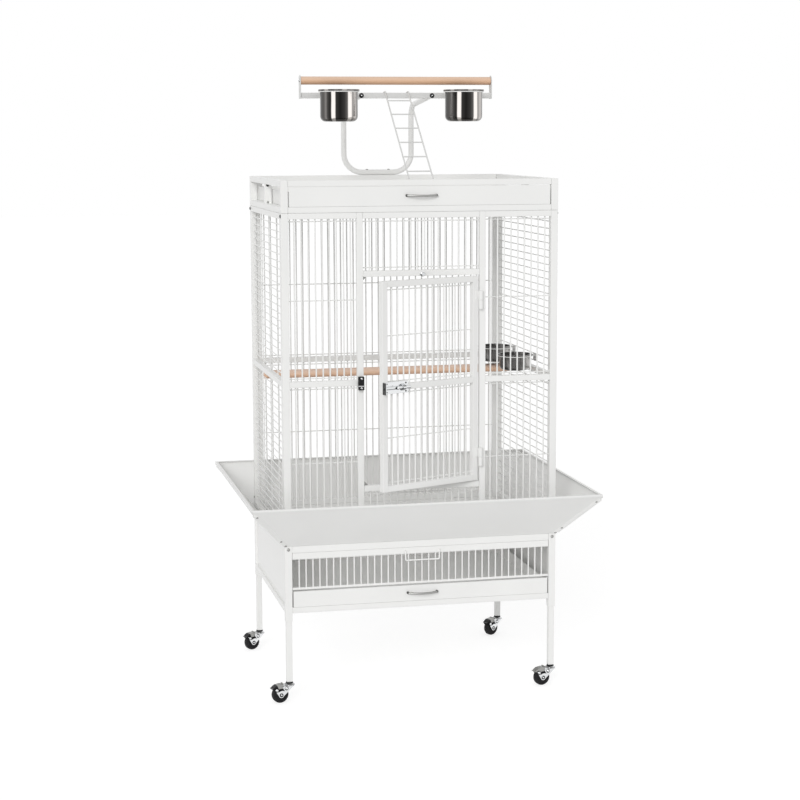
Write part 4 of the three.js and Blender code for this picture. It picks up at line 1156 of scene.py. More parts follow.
@dataclass
class Walls:
    """The barred walls, front panels and roof of the cage."""

    shop: Workshop
    edge: float = 1.1
    cross_heights: Pair = (656.7, 1096.7)
    cross_gap: float = 6.5
    panel_cross_gap: float = 8.0
    brace_count: int = 3
    brace_pitch: float = 136.0
    gusset: float = 14.0
    gusset_plate: float = 2.0
    gusset_back: float = 2.3

    @property
    def front_depth(self) -> Pair:
        """Y of the front panels' faces."""
        return (-self.shop.sizes.half_depth, self.shop.sizes.wall_front)

    @property
    def rails(self) -> tuple[Pair, ...]:
        """Heights of a wall's bottom, middle and top rail."""
        sizes = self.shop.sizes
        bottoms = (sizes.wall_bottom, sizes.mid_bottom, sizes.wall_top - sizes.rail)
        return tuple((z, z + sizes.rail) for z in bottoms)

    @property
    def wires(self) -> tuple[float, ...]:
        """Heights of the level wires behind the bars of the front and the back."""
        sizes, gap = self.shop.sizes, self.cross_gap
        beside_rails = (sizes.wall_top - sizes.rail - gap, sizes.mid_top + gap, sizes.mid_bottom - gap)
        return (*beside_rails, *self.cross_heights)

    def front_side(self, name: str) -> None:
        """Builds the panel on one side of the doorway; the right one carries the fixed hinge halves.

        Args:
            name: left or right.
        """
        sizes, side = self.shop.sizes, SIDES[name]
        outer = mirrored(side, sizes.opening_half, sizes.half_width)
        inner = mirrored(side, sizes.opening_half + sizes.stile, sizes.half_width - sizes.post)
        panel = BarredPanel(outer, inner, self.front_depth, self.rails, self.wires)
        solids = panel.frame()
        if side > 0:
            door = DoorShape(sizes)
            for z in door.hinge_places:
                door.knuckle(solids, 1, z - door.hinge_half, z - sizes.gap)
        node = f"front_{name}_panel"
        self.shop.piece(f"front_{name}_bars", "cage", solids, ENAMEL, node, self.edge, panel.bars(sizes))

    def front_between(self) -> None:
        """Builds the panels above and below the doorway."""
        sizes = self.shop.sizes
        edge, rail, gap = sizes.opening_half - sizes.gap, sizes.rail, self.panel_cross_gap
        spans = (("header", sizes.header_bottom, sizes.wall_top), ("sill", sizes.wall_bottom, sizes.sill_top))
        for name, z0, z1 in spans:
            rails = ((z0, z0 + rail), (z1 - rail, z1))
            wires = (z0 + rail + gap, z1 - rail - gap)
            panel = BarredPanel((-edge, edge), (-edge, edge), self.front_depth, rails, wires)
            node, bars = f"front_{name}_panel", panel.bars(sizes)
            self.shop.piece(f"{name}_bars", "cage", panel.frame(), ENAMEL, node, self.edge, bars)

    def back(self) -> None:
        """Builds the back wall, with its level wires inside."""
        sizes = self.shop.sizes
        edge = sizes.half_width - sizes.rail - sizes.gap
        inner = edge - sizes.back_stile
        depth = (sizes.wall_back, sizes.half_depth)
        panel = BarredPanel((-edge, edge), (-inner, inner), depth, self.rails, self.wires, -1)
        self.shop.piece("back_bars", "cage", panel.frame(), ENAMEL, "back_wall", self.edge, panel.bars(sizes))

    def side(self, name: str) -> None:
        """Builds one side wall of level wires with upright braces.

        Args:
            name: left or right.
        """
        sizes, side = self.shop.sizes, SIDES[name]
        solids = Solids()
        x0, x1 = mirrored(side, sizes.half_width - sizes.rail, sizes.half_width)
        y0, y1 = sizes.wall_front + sizes.gap, sizes.half_depth
        front_inner, back_inner = y0 + sizes.rail, y1 - sizes.post
        for low, high in ((y0, front_inner), (back_inner, y1)):
            solids.block((x0, low, sizes.wall_bottom), (x1, high, sizes.wall_top))
        for z0, z1 in self.rails:
            solids.block((x0, front_inner, z0), (x1, back_inner, z1))
        x, radius = (x0 + x1) / 2, sizes.wire / 2
        run = (0, back_inner - front_inner, 0)
        brace_y = -self.brace_pitch * (self.brace_count - 1) / 2
        rows = []
        for (_, z0), (z1, _) in zip(self.rails, self.rails[1:]):
            rows.append(bar_field((x, front_inner, z0), (x, front_inner, z1), sizes.wire_pitch, run, radius))
            foot = (x - side * sizes.wire, brace_y, z0)
            rows.append(BarRow(foot, (0, self.brace_pitch, 0), (0, 0, z1 - z0), self.brace_count, radius))
        self.shop.piece(f"{name}_side_wires", "cage", solids, ENAMEL, f"{name}_wall", self.edge, rows)

    def roof(self) -> None:
        """Builds the barred roof under the top tray."""
        sizes = self.shop.sizes
        solids = Solids()
        edge_x = sizes.half_width - sizes.rail - sizes.gap
        edge_y = sizes.half_depth - sizes.rail - sizes.gap
        inner_x, inner_y = edge_x - sizes.back_stile, edge_y - sizes.back_stile
        z0, z1 = sizes.wall_top - sizes.back_stile, sizes.wall_top
        for side in SIDES.values():
            low, high = mirrored(side, inner_x, edge_x)
            solids.block((low, -edge_y, z0), (high, edge_y, z1))
            low, high = mirrored(side, inner_y, edge_y)
            solids.block((-inner_x, low, z0), (inner_x, high, z1))
        z, run = (z0 + z1) / 2, (0, 2 * inner_y, 0)
        row = bar_field((-inner_x, -inner_y, z), (inner_x, -inner_y, z), sizes.bar_pitch, run, sizes.bar / 2)
        self.shop.piece("roof_bars", "cage", solids, ENAMEL, "roof_grille", self.edge, [row])

    def trim(self) -> None:
        """Adds the gusset plates of the doorway and the thumb screw on the header."""
        sizes, size = self.shop.sizes, self.gusset
        solids = Solids()
        x = -sizes.opening_half - 0.5
        for z, way in ((sizes.header_bottom + 0.5, -1), (sizes.sill_top - 0.5, 1)):
            corners = [(x, z), (x + size, z), (x, z + way * size)]
            outline = corners if way > 0 else [corners[0], corners[2], corners[1]]
            solids.prism(outline, self.gusset_plate, side_plane(sizes.wall_front + self.gusset_back))
        self.shop.piece("doorway_gussets", "cage", solids, ZINC, edge=0.3)
        thumb = Solids()
        profile = [(0, 0), (6.5, 0), (6.5, 1.6), (4.2, 2.0), (4.2, 9.0), (5.4, 9.6), (5.4, 13.0), (4.6, 13.8),
                   (0, 13.8)]
        seat = (1.4, -sizes.half_depth, sizes.header_bottom + 5.0)
        thumb.revolve(profile, axis_matrix(Axis.FRONT, seat), 32)
        self.shop.piece("header_thumb_screw", "cage", thumb, CHROME)

    def build(self) -> None:
        """Builds every wall."""
        for name in SIDES:
            self.front_side(name)
            self.side(name)
        self.front_between()
        self.back()
        self.roof()
        self.trim()


# The door


@dataclass
class DoorShape:
    """Sizes of the swing door and its hinges, shared by the door and the panel that carries it."""

    sizes: CageSizes
    side_gap: float = 3.0
    stile: float = 16.0
    open_degrees: float = 23.0
    hinge_radius: float = 6.0
    hinge_face_gap: float = 0.5
    hinge_inset: float = 2.0
    hinge_half: float = 25.0
    hinge_drop: float = 40.0
    neck_front: float = 3.4
    leaf_width: float = 9.0
    leaf_thickness: float = 1.4

    @property
    def half(self) -> float:
        """Half of the door's width."""
        return self.sizes.opening_half - self.side_gap

    @property
    def bottom(self) -> float:
        """Height of the door's lower edge."""
        return self.sizes.sill_top + self.side_gap

    @property
    def top(self) -> float:
        """Height of the door's upper edge."""
        return self.sizes.header_bottom - self.side_gap

    @property
    def hinge_places(self) -> Pair:
        """Heights of the hinges' middles."""
        return (self.bottom + self.hinge_drop + self.hinge_half, self.top - self.hinge_drop - self.hinge_half)

    @property
    def axis(self) -> Vector:
        """The hinge pins' place in plan."""
        y = -self.sizes.half_depth - self.hinge_radius - self.hinge_face_gap
        return Vector((self.sizes.opening_half + self.hinge_inset, y, 0))

    @property
    def swing(self) -> Matrix:
        """The turn from the shut door to the open one."""
        turn = Matrix.Rotation(math.radians(self.open_degrees), 4, "Z")
        return Matrix.Translation(self.axis) @ turn @ Matrix.Translation(-self.axis)

    def knuckle(self, solids: Solids, side: int, z0: float, z1: float) -> None:
        """Adds half a barrel hinge with its neck and leaf.

        Args:
            solids: where it is added.
            side: -1 towards the door, 1 towards the frame.
            z0: its lower end.
            z1: its upper end.
        """
        solids.revolve(rod(self.hinge_radius, z0, z1, 0.8), Matrix.Translation(self.axis), 28)
        x, y, face = self.axis.x, self.axis.y, -self.sizes.half_depth
        neck = self.hinge_inset + self.side_gap + self.sizes.gap
        low, high = mirrored(side, 0, neck)
        neck_back = y + self.hinge_radius - self.hinge_face_gap
        solids.block((x + low, y + self.neck_front, z0), (x + high, neck_back, z1))
        low, high = mirrored(side, neck, neck + self.leaf_width)
        solids.block((x + low, face - self.leaf_thickness, z0), (x + high, face + 1, z1))


@dataclass
class Door:
    """The swing door with its latch, shown standing open."""

    shop: Workshop
    shape: DoorShape
    edge: float = 1.1
    cross_gap: float = 8.0
    latch_length: float = 82.0
    latch_height: float = 32.0
    latch_corner: float = 2.5
    latch_screw_places: tuple[Pair, ...] = ((12, -11), (12, 11), (74, -11), (74, 11))
    plate: float = 2.0
    flange: float = 16.0
    overhang: float = 1.5
    bolt_radius: float = 4.0
    bolt_length: float = 84.0
    bolt_stand_off: float = 8.0
    guide_wall: float = 2.2
    guide_foot: float = 4.0
    guide_width: float = 10.0
    guide_inset: float = 58.0
    knob_inset: float = 38.0
    knob_radius: float = 3.5
    knob_length: float = 9.0
    keeper_width: float = 15.0
    keeper_depth: float = 14.0
    band_heights: Pair = (-8.2, -5.6)
    keeper_screw_heights: Pair = (13.0, -12.8)

    @property
    def latch_z(self) -> float:
        """Height of the latch bolt."""
        return (self.shop.sizes.mid_bottom + self.shop.sizes.mid_top) / 2

    @property
    def latch_back(self) -> float:
        """Y of the latch's seat on the door."""
        return -self.shop.sizes.half_depth - self.shop.sizes.gap

    @property
    def latch_left(self) -> float:
        """X of the latch's free edge."""
        return -self.shape.half - self.overhang

    @property
    def bolt_y(self) -> float:
        """Y of the latch bolt's middle."""
        return self.latch_back - self.bolt_stand_off

    def leaf(self) -> None:
        """Builds the barred leaf with its hinge knuckles."""
        sizes, shape = self.shop.sizes, self.shape
        inner = shape.half - shape.stile
        low_rail = (shape.bottom, shape.bottom + shape.stile)
        rails = (low_rail, (sizes.mid_bottom, sizes.mid_top), (shape.top - shape.stile, shape.top))
        wires: list[float] = []
        for (_, z0), (z1, _) in zip(rails, rails[1:]):
            wires += [z0 + self.cross_gap, (z0 + z1) / 2, z1 - self.cross_gap]
        depth = (-sizes.half_depth, sizes.wall_front)
        panel = BarredPanel((-shape.half, shape.half), (-inner, inner), depth, rails, wires)
        solids = panel.frame()
        for z in shape.hinge_places:
            shape.knuckle(solids, -1, z, z + shape.hinge_half)
        bars = panel.bars(sizes)
        self.shop.piece("door_bars", "door", solids, ENAMEL, "main_door", self.edge, bars, shape.swing)

    def latch(self) -> None:
        """Builds the latch plate with its guide and screws."""
        left, z, back = self.latch_left, self.latch_z, self.latch_back
        half, corner = self.latch_height / 2, self.latch_corner
        x0, x1 = left + corner, left + self.latch_length - corner
        z0, z1 = z - half + corner, z + half - corner
        outline: list[Vector] = []
        for x, height, start in ((x0, z0, 180), (x1, z0, 270), (x1, z1, 0), (x0, z1, 90)):
            outline += arc((x, height), corner, start, start + 90, 5)
        solids = Solids()
        solids.prism(outline, self.plate, side_plane(back))
        solids.block((left, back - self.flange, z - half), (left + self.plate, back, z + half))
        outer = self.bolt_radius + self.guide_wall
        spread = outer + self.guide_foot
        loop = [Vector((back, z - spread)), Vector((back, z + spread))]
        loop += [*arc((self.bolt_y, z), outer, 90, 270, 14), Vector((self.bolt_y, z - outer))]
        solids.prism(loop, self.guide_width, end_plane(left + self.guide_inset))
        self.shop.piece("latch_base", "door", solids, CHROME, "latch_plate", 0.35, place=self.shape.swing)
        seats = [(left + x, back - self.plate, z + height) for x, height in self.latch_screw_places]
        self.shop.fasten("latch_screws", LATCH_SCREW, seats, (0, -1, 0), "door", self.shape.swing)

    def bolt(self) -> None:
        """Builds the sliding bolt and its knob."""
        left, z, y = self.latch_left, self.latch_z, self.bolt_y
        radius, knob = self.bolt_radius, self.knob_radius
        solids, collar = Solids(), Solids()
        solids.revolve(rod(radius, 0, self.bolt_length, 0.8), axis_matrix(Axis.X, (left, y, z)), 32)
        end = radius + self.knob_length
        angles = [math.radians(degrees) for degrees in range(-50, 90, 14)]
        ball = [(knob * math.cos(a), end - knob + knob * math.sin(a)) for a in angles]
        turn = axis_matrix(Axis.FRONT, (left + self.knob_inset, y, z))
        solids.revolve([(0, 0), (knob * 0.6, 0), (knob * 0.6, end - 4.5), *ball, (0, end)], turn, 28)
        self.shop.piece("latch_sliding_bolt", "bolt", solids, BRIGHT, "latch_bolt", place=self.shape.swing)
        collar.revolve(rod(knob + 0.5, radius - 1, radius + 1.2), turn, 28)
        self.shop.piece("knob_collar", "bolt", collar, BLACK, edge=0.3, place=self.shape.swing)

    def keeper(self) -> None:
        """Builds the keeper on the door stile: a black block with a plated band."""
        sizes, z = self.shop.sizes, self.latch_z
        self.shop.softened("latch_keeper", "cage", BLACK, 1.2)
        x = -sizes.opening_half - sizes.stile / 2
        half_x = self.keeper_width / 2 + 1.2
        front = self.latch_back - self.keeper_depth
        low, high = self.band_heights
        band = Solids()
        band.block((x - half_x, front - 0.6, z + low), (x + half_x, self.latch_back, z + high))
        self.shop.piece("keeper_band", "cage", band, CHROME, edge=0.4)
        seats = [(x, front, z + height) for height in self.keeper_screw_heights]
        self.shop.fasten("keeper_screws", KEEPER_SCREW, seats, (0, -1, 0))

    def build(self) -> None:
        """Builds the whole door."""
        self.leaf()
        self.latch()
        self.bolt()
        self.keeper()


# Stand, skirts, grate, trays and top box


@dataclass
class Stand:
    """The stand, skirts, slide-out grate and trays, and the top box."""

    shop: Workshop
    tube_edge: float = 1.1
    skirt_edge: float = 0.5
    tray_edge: float = 0.45
    front_rail: float = 19.0
    grate_height: float = 18.0
    grate_frame: float = 6.0
    slide_gap: float = 1.2
    front_recess: float = 1.0
    back_gap: float = 4.0
    fence_drop: float = 84.0
    fence_tray_gap: float = 4.4
    fence_wire: float = 4.0
    bail_width: float = 95.0
    bail_drop: float = 26.0
    bail_radius: float = 2.0
    bail_stand_off: float = 4.0
    lower_tray_height: float = 44.0
    top_tray_height: float = 52.0
    handle_length: float = 89.0
    handle_reach: float = 15.0
    handle_sag: float = 1.0
    handle_lift: float = 1.4
    handle_radius: float = 3.0
    handle_steps: int = 36
    foot_radius: float = 3.6
    foot_length: float = 6.0
    skirt_reach: float = 103.0
    skirt_rise: float = 123.0
    skirt_lip: float = 8.0
    sheet: float = 1.6
    rim_bead: float = 2.4
    rim_corner: float = 12.0
    strip_width: float = 11.0
    strip_thickness: float = 1.2
    strip_ridge: float = 3.0
    strip_sink: float = 0.4
    strip_span: Pair = (0.02, 0.95)
    strip_screws: tuple[float, ...] = (0.02, 0.16, 0.9)
    box_post: float = 16.0
    bolt_inset: float = 9.0
    bolt_drop: float = 8.0
    screw_rise: float = 30.0

    @property
    def slide_edge(self) -> float:
        """Half of the width of what slides between the posts."""
        return self.shop.sizes.half_width - self.shop.sizes.post - self.slide_gap

    @property
    def front(self) -> float:
        """Y of the front face of what slides."""
        return -self.shop.sizes.half_depth + self.front_recess

    @property
    def grate_top(self) -> float:
        """Height of the grate's front rail."""
        return self.shop.sizes.stand_top - self.front_rail - self.shop.sizes.gap

    @property
    def fence_bottom(self) -> float:
        """Height of the lower edge of the grate's fence."""
        return self.grate_top - self.grate_height - self.fence_drop

    def sheet_work(self) -> None:
        """Builds the tubes, sheets and trays, whose own shapes are full enough, with rounded edges."""
        tubes = [
            "stand_left_end", "stand_right_end", "stand_back_panel", "stand_front_top_rail",
            "stand_front_bottom_rail", "top_box_left_end", "top_box_right_end", "top_box_back",
            "top_box_front_upper_rail", "top_box_front_lower_rail", *(f"leg_{place}" for place in PLACES),
        ]
        for node in tubes:
            self.shop.softened(node, "cage", ENAMEL, self.tube_edge)
        for side in ("front", "right", "back", "left"):
            self.shop.softened(f"skirt_{side}", "cage", ENAMEL, self.skirt_edge)
        for name in ("lower", "top"):
            self.shop.softened(f"{name}_tray", f"{name}_drawer", ENAMEL, self.tray_edge)

    def grate(self) -> None:
        """Builds the floor grate with its fence and bail."""
        sizes = self.shop.sizes
        solids = Solids()
        edge, frame, y0 = self.slide_edge, self.grate_frame, self.front
        y1 = sizes.wall_back - self.back_gap
        z0, low = self.grate_top - self.grate_height, self.fence_bottom
        for side in SIDES.values():
            x0, x1 = mirrored(side, edge - frame, edge)
            solids.block((x0, y0 + frame, z0), (x1, y1, z0 + frame))
        solids.block((-edge + frame, y1 - frame, z0), (edge - frame, y1, z0 + frame))
        solids.block((-edge, y0, z0), (edge, y0 + frame, self.grate_top))
        solids.block((-edge, y0, low), (edge, y0 + frame, low + frame))
        half, y = self.bail_width / 2, y0 - self.bail_stand_off
        top = z0 + self.grate_height / 2
        foot = top - self.bail_drop
        corners = [(-half, y0 + 1, top), (-half, y, top), (-half, y, foot)]
        corners += [(-x, y, z) for x, y, z in reversed(corners)]
        route = rounded_route(corners, self.bail_radius + 1.5, 6)
        solids.sweep(route, self.bail_radius, 14)
        inner, y_bars, z_bars = edge - frame, y0 + frame, z0 + frame / 2
        run = (0, y1 - y0 - 2 * frame, 0)
        ends = ((-inner, y_bars, z_bars), (inner, y_bars, z_bars))
        rows = [bar_field(*ends, sizes.bar_pitch, run, sizes.bar / 2)]
        y_fence, run = y0 + frame / 2, (0, 0, self.fence_drop)
        ends = ((-edge, y_fence, low + 1), (edge, y_fence, low + 1))
        rows.append(bar_field(*ends, sizes.bar_pitch, run, self.fence_wire / 2))
        self.shop.piece("grate_bars", "grate", solids, ENAMEL, "floor_grate", 0.8, rows)

    def handle(self, name: str, z: float) -> None:
        """Builds a tray's bow handle.

        Args:
            name: lower or top.
            z: the height of the tray's middle.
        """
        seat = self.front - self.shop.sizes.gap
        z += self.handle_lift
        reach = self.handle_reach - self.foot_length
        end = self.handle_length / 2 - self.foot_radius
        bow = []
        for i in range(self.handle_steps + 1):
            share = 2 * i / self.handle_steps - 1
            swell = 1 - share * share
            y = seat - self.foot_length - swell * reach
            bow.append(Vector((share * end, y, z - swell * self.handle_sag)))
        solids, feet = Solids(), Solids()
        solids.sweep(bow, self.handle_radius, 20)
        wide, waist, tip = self.foot_radius, self.foot_radius * 0.72, self.foot_length + 3.0
        foot = [(0, 0), (wide, 0), (wide, 2.0), (waist, 3.4), (waist, tip - 0.8), (wide * 0.5, tip), (0, tip)]
        for side in SIDES.values():
            feet.revolve(foot, axis_matrix(Axis.FRONT, (side * end, seat, z)), 28)
        self.shop.piece(f"{name}_bow", f"{name}_drawer", solids, ZINC, f"{name}_tray_handle")
        self.shop.piece(f"{name}_bow_feet", f"{name}_drawer", feet, SHADED)

    def skirt_point(self, share: float) -> Vector:
        """A point on the middle of a skirt's sheet.

        Args:
            share: how far it is from the foot, at 0, to the lip, at 1.

        Returns:
            Its reach from the wall and its height.
        """
        sizes = self.shop.sizes
        low = Vector((sizes.gap + self.sheet / 2, sizes.wall_bottom + self.sheet))
        high = Vector((self.skirt_reach - self.sheet / 2, sizes.stand_top + self.skirt_rise - self.skirt_lip))
        return low.lerp(high, share)

    @property
    def skirt_outward(self) -> Vector:
        """The way from a skirt's middle through its outer face, as a reach and a height."""
        slope = (self.skirt_point(1) - self.skirt_point(0)).normalized()
        return Vector((slope.y, -slope.x))

    def skirt_rim(self) -> None:
        """Builds the rolled rim of the skirts."""
        sizes, bead, corner = self.shop.sizes, self.rim_bead, self.rim_corner
        x = sizes.half_width + self.skirt_reach - bead - corner
        y = sizes.half_depth + self.skirt_reach - bead - corner
        z = sizes.stand_top + self.skirt_rise - bead
        route = []
        for side, end, start in ((-1, -1, 180), (1, -1, 270), (1, 1, 0), (-1, 1, 90)):
            route += [Vector((*p, z)) for p in arc((side * x, end * y), corner, start, start + 90, 8)]
        rim = Solids()
        rim.sweep(route, bead, 16, closed=True)
        self.shop.piece("skirt_rolled_rim", "cage", rim, ENAMEL)

    def skirt_strips(self) -> None:
        """Builds the strips over the skirts' mitres."""
        sizes, away = self.shop.sizes, self.skirt_outward
        half = self.sheet / 2
        lifts = ((half - self.strip_sink, 0.0), (half + self.strip_thickness, self.strip_ridge))
        strips = Solids()
        for side, end in PLACES.values():
            points = []
            for share in self.strip_span:
                for lift, ridge in lifts:
                    reach, z = self.skirt_point(share) + away * lift
                    x, y = sizes.half_width + reach, sizes.half_depth + reach
                    across = ((x - self.strip_width, y), (x + ridge, y + ridge), (x, y - self.strip_width))
                    points += [Vector((side * a, end * b, z)) for a, b in across]
            faces = [(0, 3, 4, 1), (1, 4, 5, 2), (6, 7, 10, 9), (7, 8, 11, 10), (0, 1, 7, 6), (1, 2, 8, 7),
                     (3, 9, 10, 4), (4, 10, 11, 5), (0, 6, 9, 3), (2, 5, 11, 8)]
            strips.add(points, [face[::-1] for face in faces] if side * end > 0 else faces)
        self.shop.piece("skirt_corner_strips", "cage", strips, ENAMEL, edge=0.4)

    def skirt_screws(self) -> None:
        """Adds the strips' screws on the front and the back."""
        sizes, away = self.shop.sizes, self.skirt_outward
        for name, (side, end) in sorted(PLACES.items(), key=lambda place: place[1]):
            seats = []
            for share in self.strip_screws:
                reach, z = self.skirt_point(share) + away * (self.sheet / 2 + self.strip_thickness)
                x = sizes.half_width + reach - self.strip_width / 2
                seats.append((side * x, end * (sizes.half_depth + reach), z))
            self.shop.fasten(f"skirt_screws_{name}", SKIRT_SCREW, seats, (0, end * away.x, away.y))

    def fasteners(self) -> None:
        """Adds the bolts and screws that hold the panels, stand and top box."""
        sizes, fasten = self.shop.sizes, self.shop.fasten
        back, high = sizes.half_depth, sizes.wall_top - self.bolt_drop
        low = sizes.wall_bottom + self.screw_rise
        ends = (-back + self.bolt_inset, back - self.bolt_inset)
        for name, side in SIDES.items():
            x = side * sizes.half_width
            fasten(f"black_bolts_{name}", BLACK_BOLT, [(x, y, high) for y in ends], (side, 0, 0))
            fasten(f"plated_screws_{name}", PLATED_SCREW, [(x, y, low) for y in ends], (side, 0, 0))
            post = (x - side * sizes.rail / 2, -self.box_post / 2)
            fasten(f"box_bolt_{name}", BOX_BOLT, [(*post, sizes.box_top - sizes.rail - 3.0)], (0, -1, 0))
            fasten(f"box_screw_{name}", BOX_SCREW, [(*post, sizes.box_bottom + sizes.rail + 4.0)], (0, -1, 0))
        posts = [side * (sizes.half_width - sizes.post / 2) for side in SIDES.values()]
        heights = (high, sizes.mid_bottom + self.bolt_drop, low, sizes.box_bottom + sizes.box_height / 2)
        fasten("back_bolts", BLACK_BOLT, [(x, back, z) for x in posts for z in heights], (0, 1, 0))
        seats = [(x, -back, sizes.stand_top - 9.0) for x in posts]
        fasten("stand_front_bolts", STAND_BOLT, seats, (0, -1, 0))

    def build(self) -> None:
        """Builds everything below and above the cage itself."""
        sizes = self.shop.sizes
        self.sheet_work()
        self.grate()
        self.handle("lower", self.fence_bottom - self.fence_tray_gap - self.lower_tray_height / 2)
        self.handle("top", sizes.box_bottom + sizes.rail + sizes.gap + self.top_tray_height / 2)
        self.skirt_rim()
        self.skirt_strips()
        self.skirt_screws()
        self.fasteners()


# Casters


@dataclass
class Caster:
    """A swivel caster: swivel cap and fork, wheel and brake lever, about its own swivel axis."""

    shop: Workshop
    name: str
    turned: float
    trail: float = 28.0
    wheel_radius: float = 23.112
    wheel_width: float = 18.0
    side_gap: float = 1.2
    plate: float = 2.0
    crown: float = 46.4
    crown_length: float = 20.0
    leg_bottom: float = 56.2
    cap_radius: float = 15.0
    neck_radius: float = 9.0
    collar_radius: float = 9.4
    collar_height: float = 4.0
    hub_radius: float = 7.8
    rear_arm: Pair = (-13.2, 14.6)
    front_arm: Pair = (15.0, 17.4)
    valley: tuple[Pair, ...] = (
        (2.4, 22.5), (9.7, 10.3), (6.0, 11.8), (2.4, 12.2), (-2.0, 11.5), (-6.0, 9.8), (-9.0, 8.8),
    )
    rivet_radius: float = 4.4
    washer_radius: float = 5.4
    pin_place: Pair = (-20.0, 51.9)
    pin_radius: float = 1.5
    eye_radius: float = 2.0
    running_gap: float = 4.09
    brake_plate: float = 1.6
    brake_start: float = 72.0
    brake_end: float = 138.0
    pad_start: float = 112.0
    pad_length: float = 3.0
    pad_plate: float = 1.0
    flank_radius: float = 17.5
    flank: float = 0.6
    flank_gap: float = 0.3

    @property
    def place(self) -> Matrix:
        """The caster's place under its post, turned about its swivel."""
        sizes = self.shop.sizes
        side, end = PLACES[self.name]
        x, y = sizes.half_width - sizes.post / 2, sizes.half_depth - sizes.post / 2
        turn = Matrix.Rotation(math.radians(self.turned), 4, "Z")
        return Matrix.Translation((side * x, end * y, 0)) @ turn

    @property
    def axle(self) -> Vector:
        """The axle's place in the caster's own X, Z plane."""
        return Vector((-self.trail, self.wheel_radius))

    @staticmethod
    def across(centre: Sequence[float], turned: float = 0.0) -> Matrix:
        """A round part's place on an axis across the caster, turned end for end by pi."""
        return axis_matrix(Axis.Y, (centre[0], 0, centre[1])) @ Matrix.Rotation(turned, 4, "X")

    def fork(self) -> None:
        """Builds the fork with its swivel cap, and its black collar and washers."""
        solids, collar = Solids(), Solids()
        axle, crown, cap, neck = self.axle, self.crown, self.cap_radius, self.neck_radius
        inner = self.wheel_width / 2 + self.side_gap
        outer = inner + self.plate
        rear, front = (axle + Vector(arm) for arm in (self.rear_arm, self.front_arm))
        back = self.crown_length / 2
        cheek = [Vector((back, crown)), *(axle + Vector(corner) for corner in self.valley)]
        cheek += arc(rear, self.rivet_radius, 0, 205, 10)
        cheek += arc(axle, self.hub_radius, 200, 335, 14)
        for y in (-inner, outer):
            solids.prism(cheek, self.plate, side_plane(y))
        solids.block((-back, -inner - 1, crown), (back, inner + 1, crown + self.plate))
        top = self.leg_bottom - self.shop.sizes.gap
        profile = [(0, crown), (cap - 0.8, crown), (cap, crown + 0.8), (cap, crown + 2.2),
                   (cap - 2.2, crown + 4.0), (neck + 0.8, crown + 5.6), (neck, top), (0, top)]
        solids.revolve(profile, Matrix.Identity(4), 40)
        rim = self.rivet_radius
        disc = [(0, -outer - 1.2), (rim - 1.0, -outer - 1.2), (rim, -outer - 0.2), (rim, -outer + 0.5),
                (0, -outer + 0.5)]
        rivet = [(0, -outer - 1.0), (2.2, -outer - 0.9), (3.0, -outer - 0.2)]
        rivet += [(radius, -y) for radius, y in reversed(rivet)]
        washer = rod(self.washer_radius, -outer - 0.5, -outer + 0.3)
        for facing in (0.0, math.pi):
            for centre in (rear, front):
                solids.revolve(disc, self.across(centre, facing), 24)
            for centre in (rear, front, axle):
                collar.revolve(washer, self.across(centre, facing), 24)
        solids.revolve(rivet, self.across(axle), 28)
        solids.revolve(rod(self.pin_radius, -outer - 0.6, outer + 0.6), self.across(self.pin_place), 16)
        name, body = self.name, f"swivel_{self.name}"
        self.shop.piece(f"fork_{name}", body, solids, CHROME, f"caster_fork_{name}", 0.4, place=self.place)
        inside, low, wide = neck - 1, top - self.collar_height, self.collar_radius
        profile = [(inside, low), (wide + 0.6, low), (wide + 0.8, low + 0.8), (wide, top - 0.1),
                   (inside, top - 0.1), (inside, low)]
        collar.revolve(profile, Matrix.Identity(4), 36)
        self.shop.piece(f"collar_{name}", body, collar, BLACK, place=self.place)

    def wheel(self) -> None:
        """Builds the wheel."""
        half, radius = self.wheel_width / 2, self.wheel_radius
        near = [(3.4, -half), (7.5, -half), (8.5, -half + 1.6), (15.5, -half + 1.6), (16.5, -half),
                (radius - 4.5, -half), (radius - 1.6, -half + 1.2), (radius - 0.3, -half + 3.6),
                (radius, -half + 6.0)]
        profile = near + [(wide, -y) for wide, y in reversed(near)] + near[:1]
        solids = Solids()
        solids.revolve(profile, self.across(self.axle), 64)
        name = f"wheel_{self.name}"
        self.shop.piece(name, name, solids, TYRE, f"caster_{name}", place=self.place)

    def brake(self) -> None:
        """Builds the brake lever and its thumb pad."""
        axle, half, end = self.axle, self.wheel_width / 2, self.brake_end
        inner = self.wheel_radius + self.running_gap
        outer = inner + self.brake_plate
        over = arc(axle, outer, end, self.brake_start, 20)
        tip = over[0] + Vector((-self.pad_length, 0))
        outline = [*over, *arc(axle, inner, self.brake_start, end, 20)]
        outline += [tip - Vector((0, self.brake_plate)), tip]
        solids, pad = Solids(), Solids()
        solids.prism(outline[::-1], self.wheel_width, side_plane(half))
        self.flanks(solids, self.brake_start + 4, end, outer, self.flank)
        solids.revolve(rod(self.eye_radius, -half, half), self.across(self.pin_place), 20)
        body = f"brake_{self.name}"
        self.shop.piece(body, body, solids, ZINC, f"caster_{body}", 0.3, place=self.place)
        wide = half + self.pad_plate
        shell = outer + self.pad_plate
        end += 1
        skin = arc(axle, inner - self.pad_plate, self.pad_start, end, 10)
        skin += [tip + Vector((-2.6, -0.8)), *arc(axle, shell, end, self.pad_start, 10)]
        pad.prism(skin[::-1], 2 * wide, side_plane(wide))
        self.flanks(pad, self.pad_start, end, shell, self.flank + 0.2)
        coat = ZINC if self.name == "front_right" else BLACK
        self.shop.piece(f"brake_pad_{self.name}", body, pad, coat, edge=0.5, place=self.place)

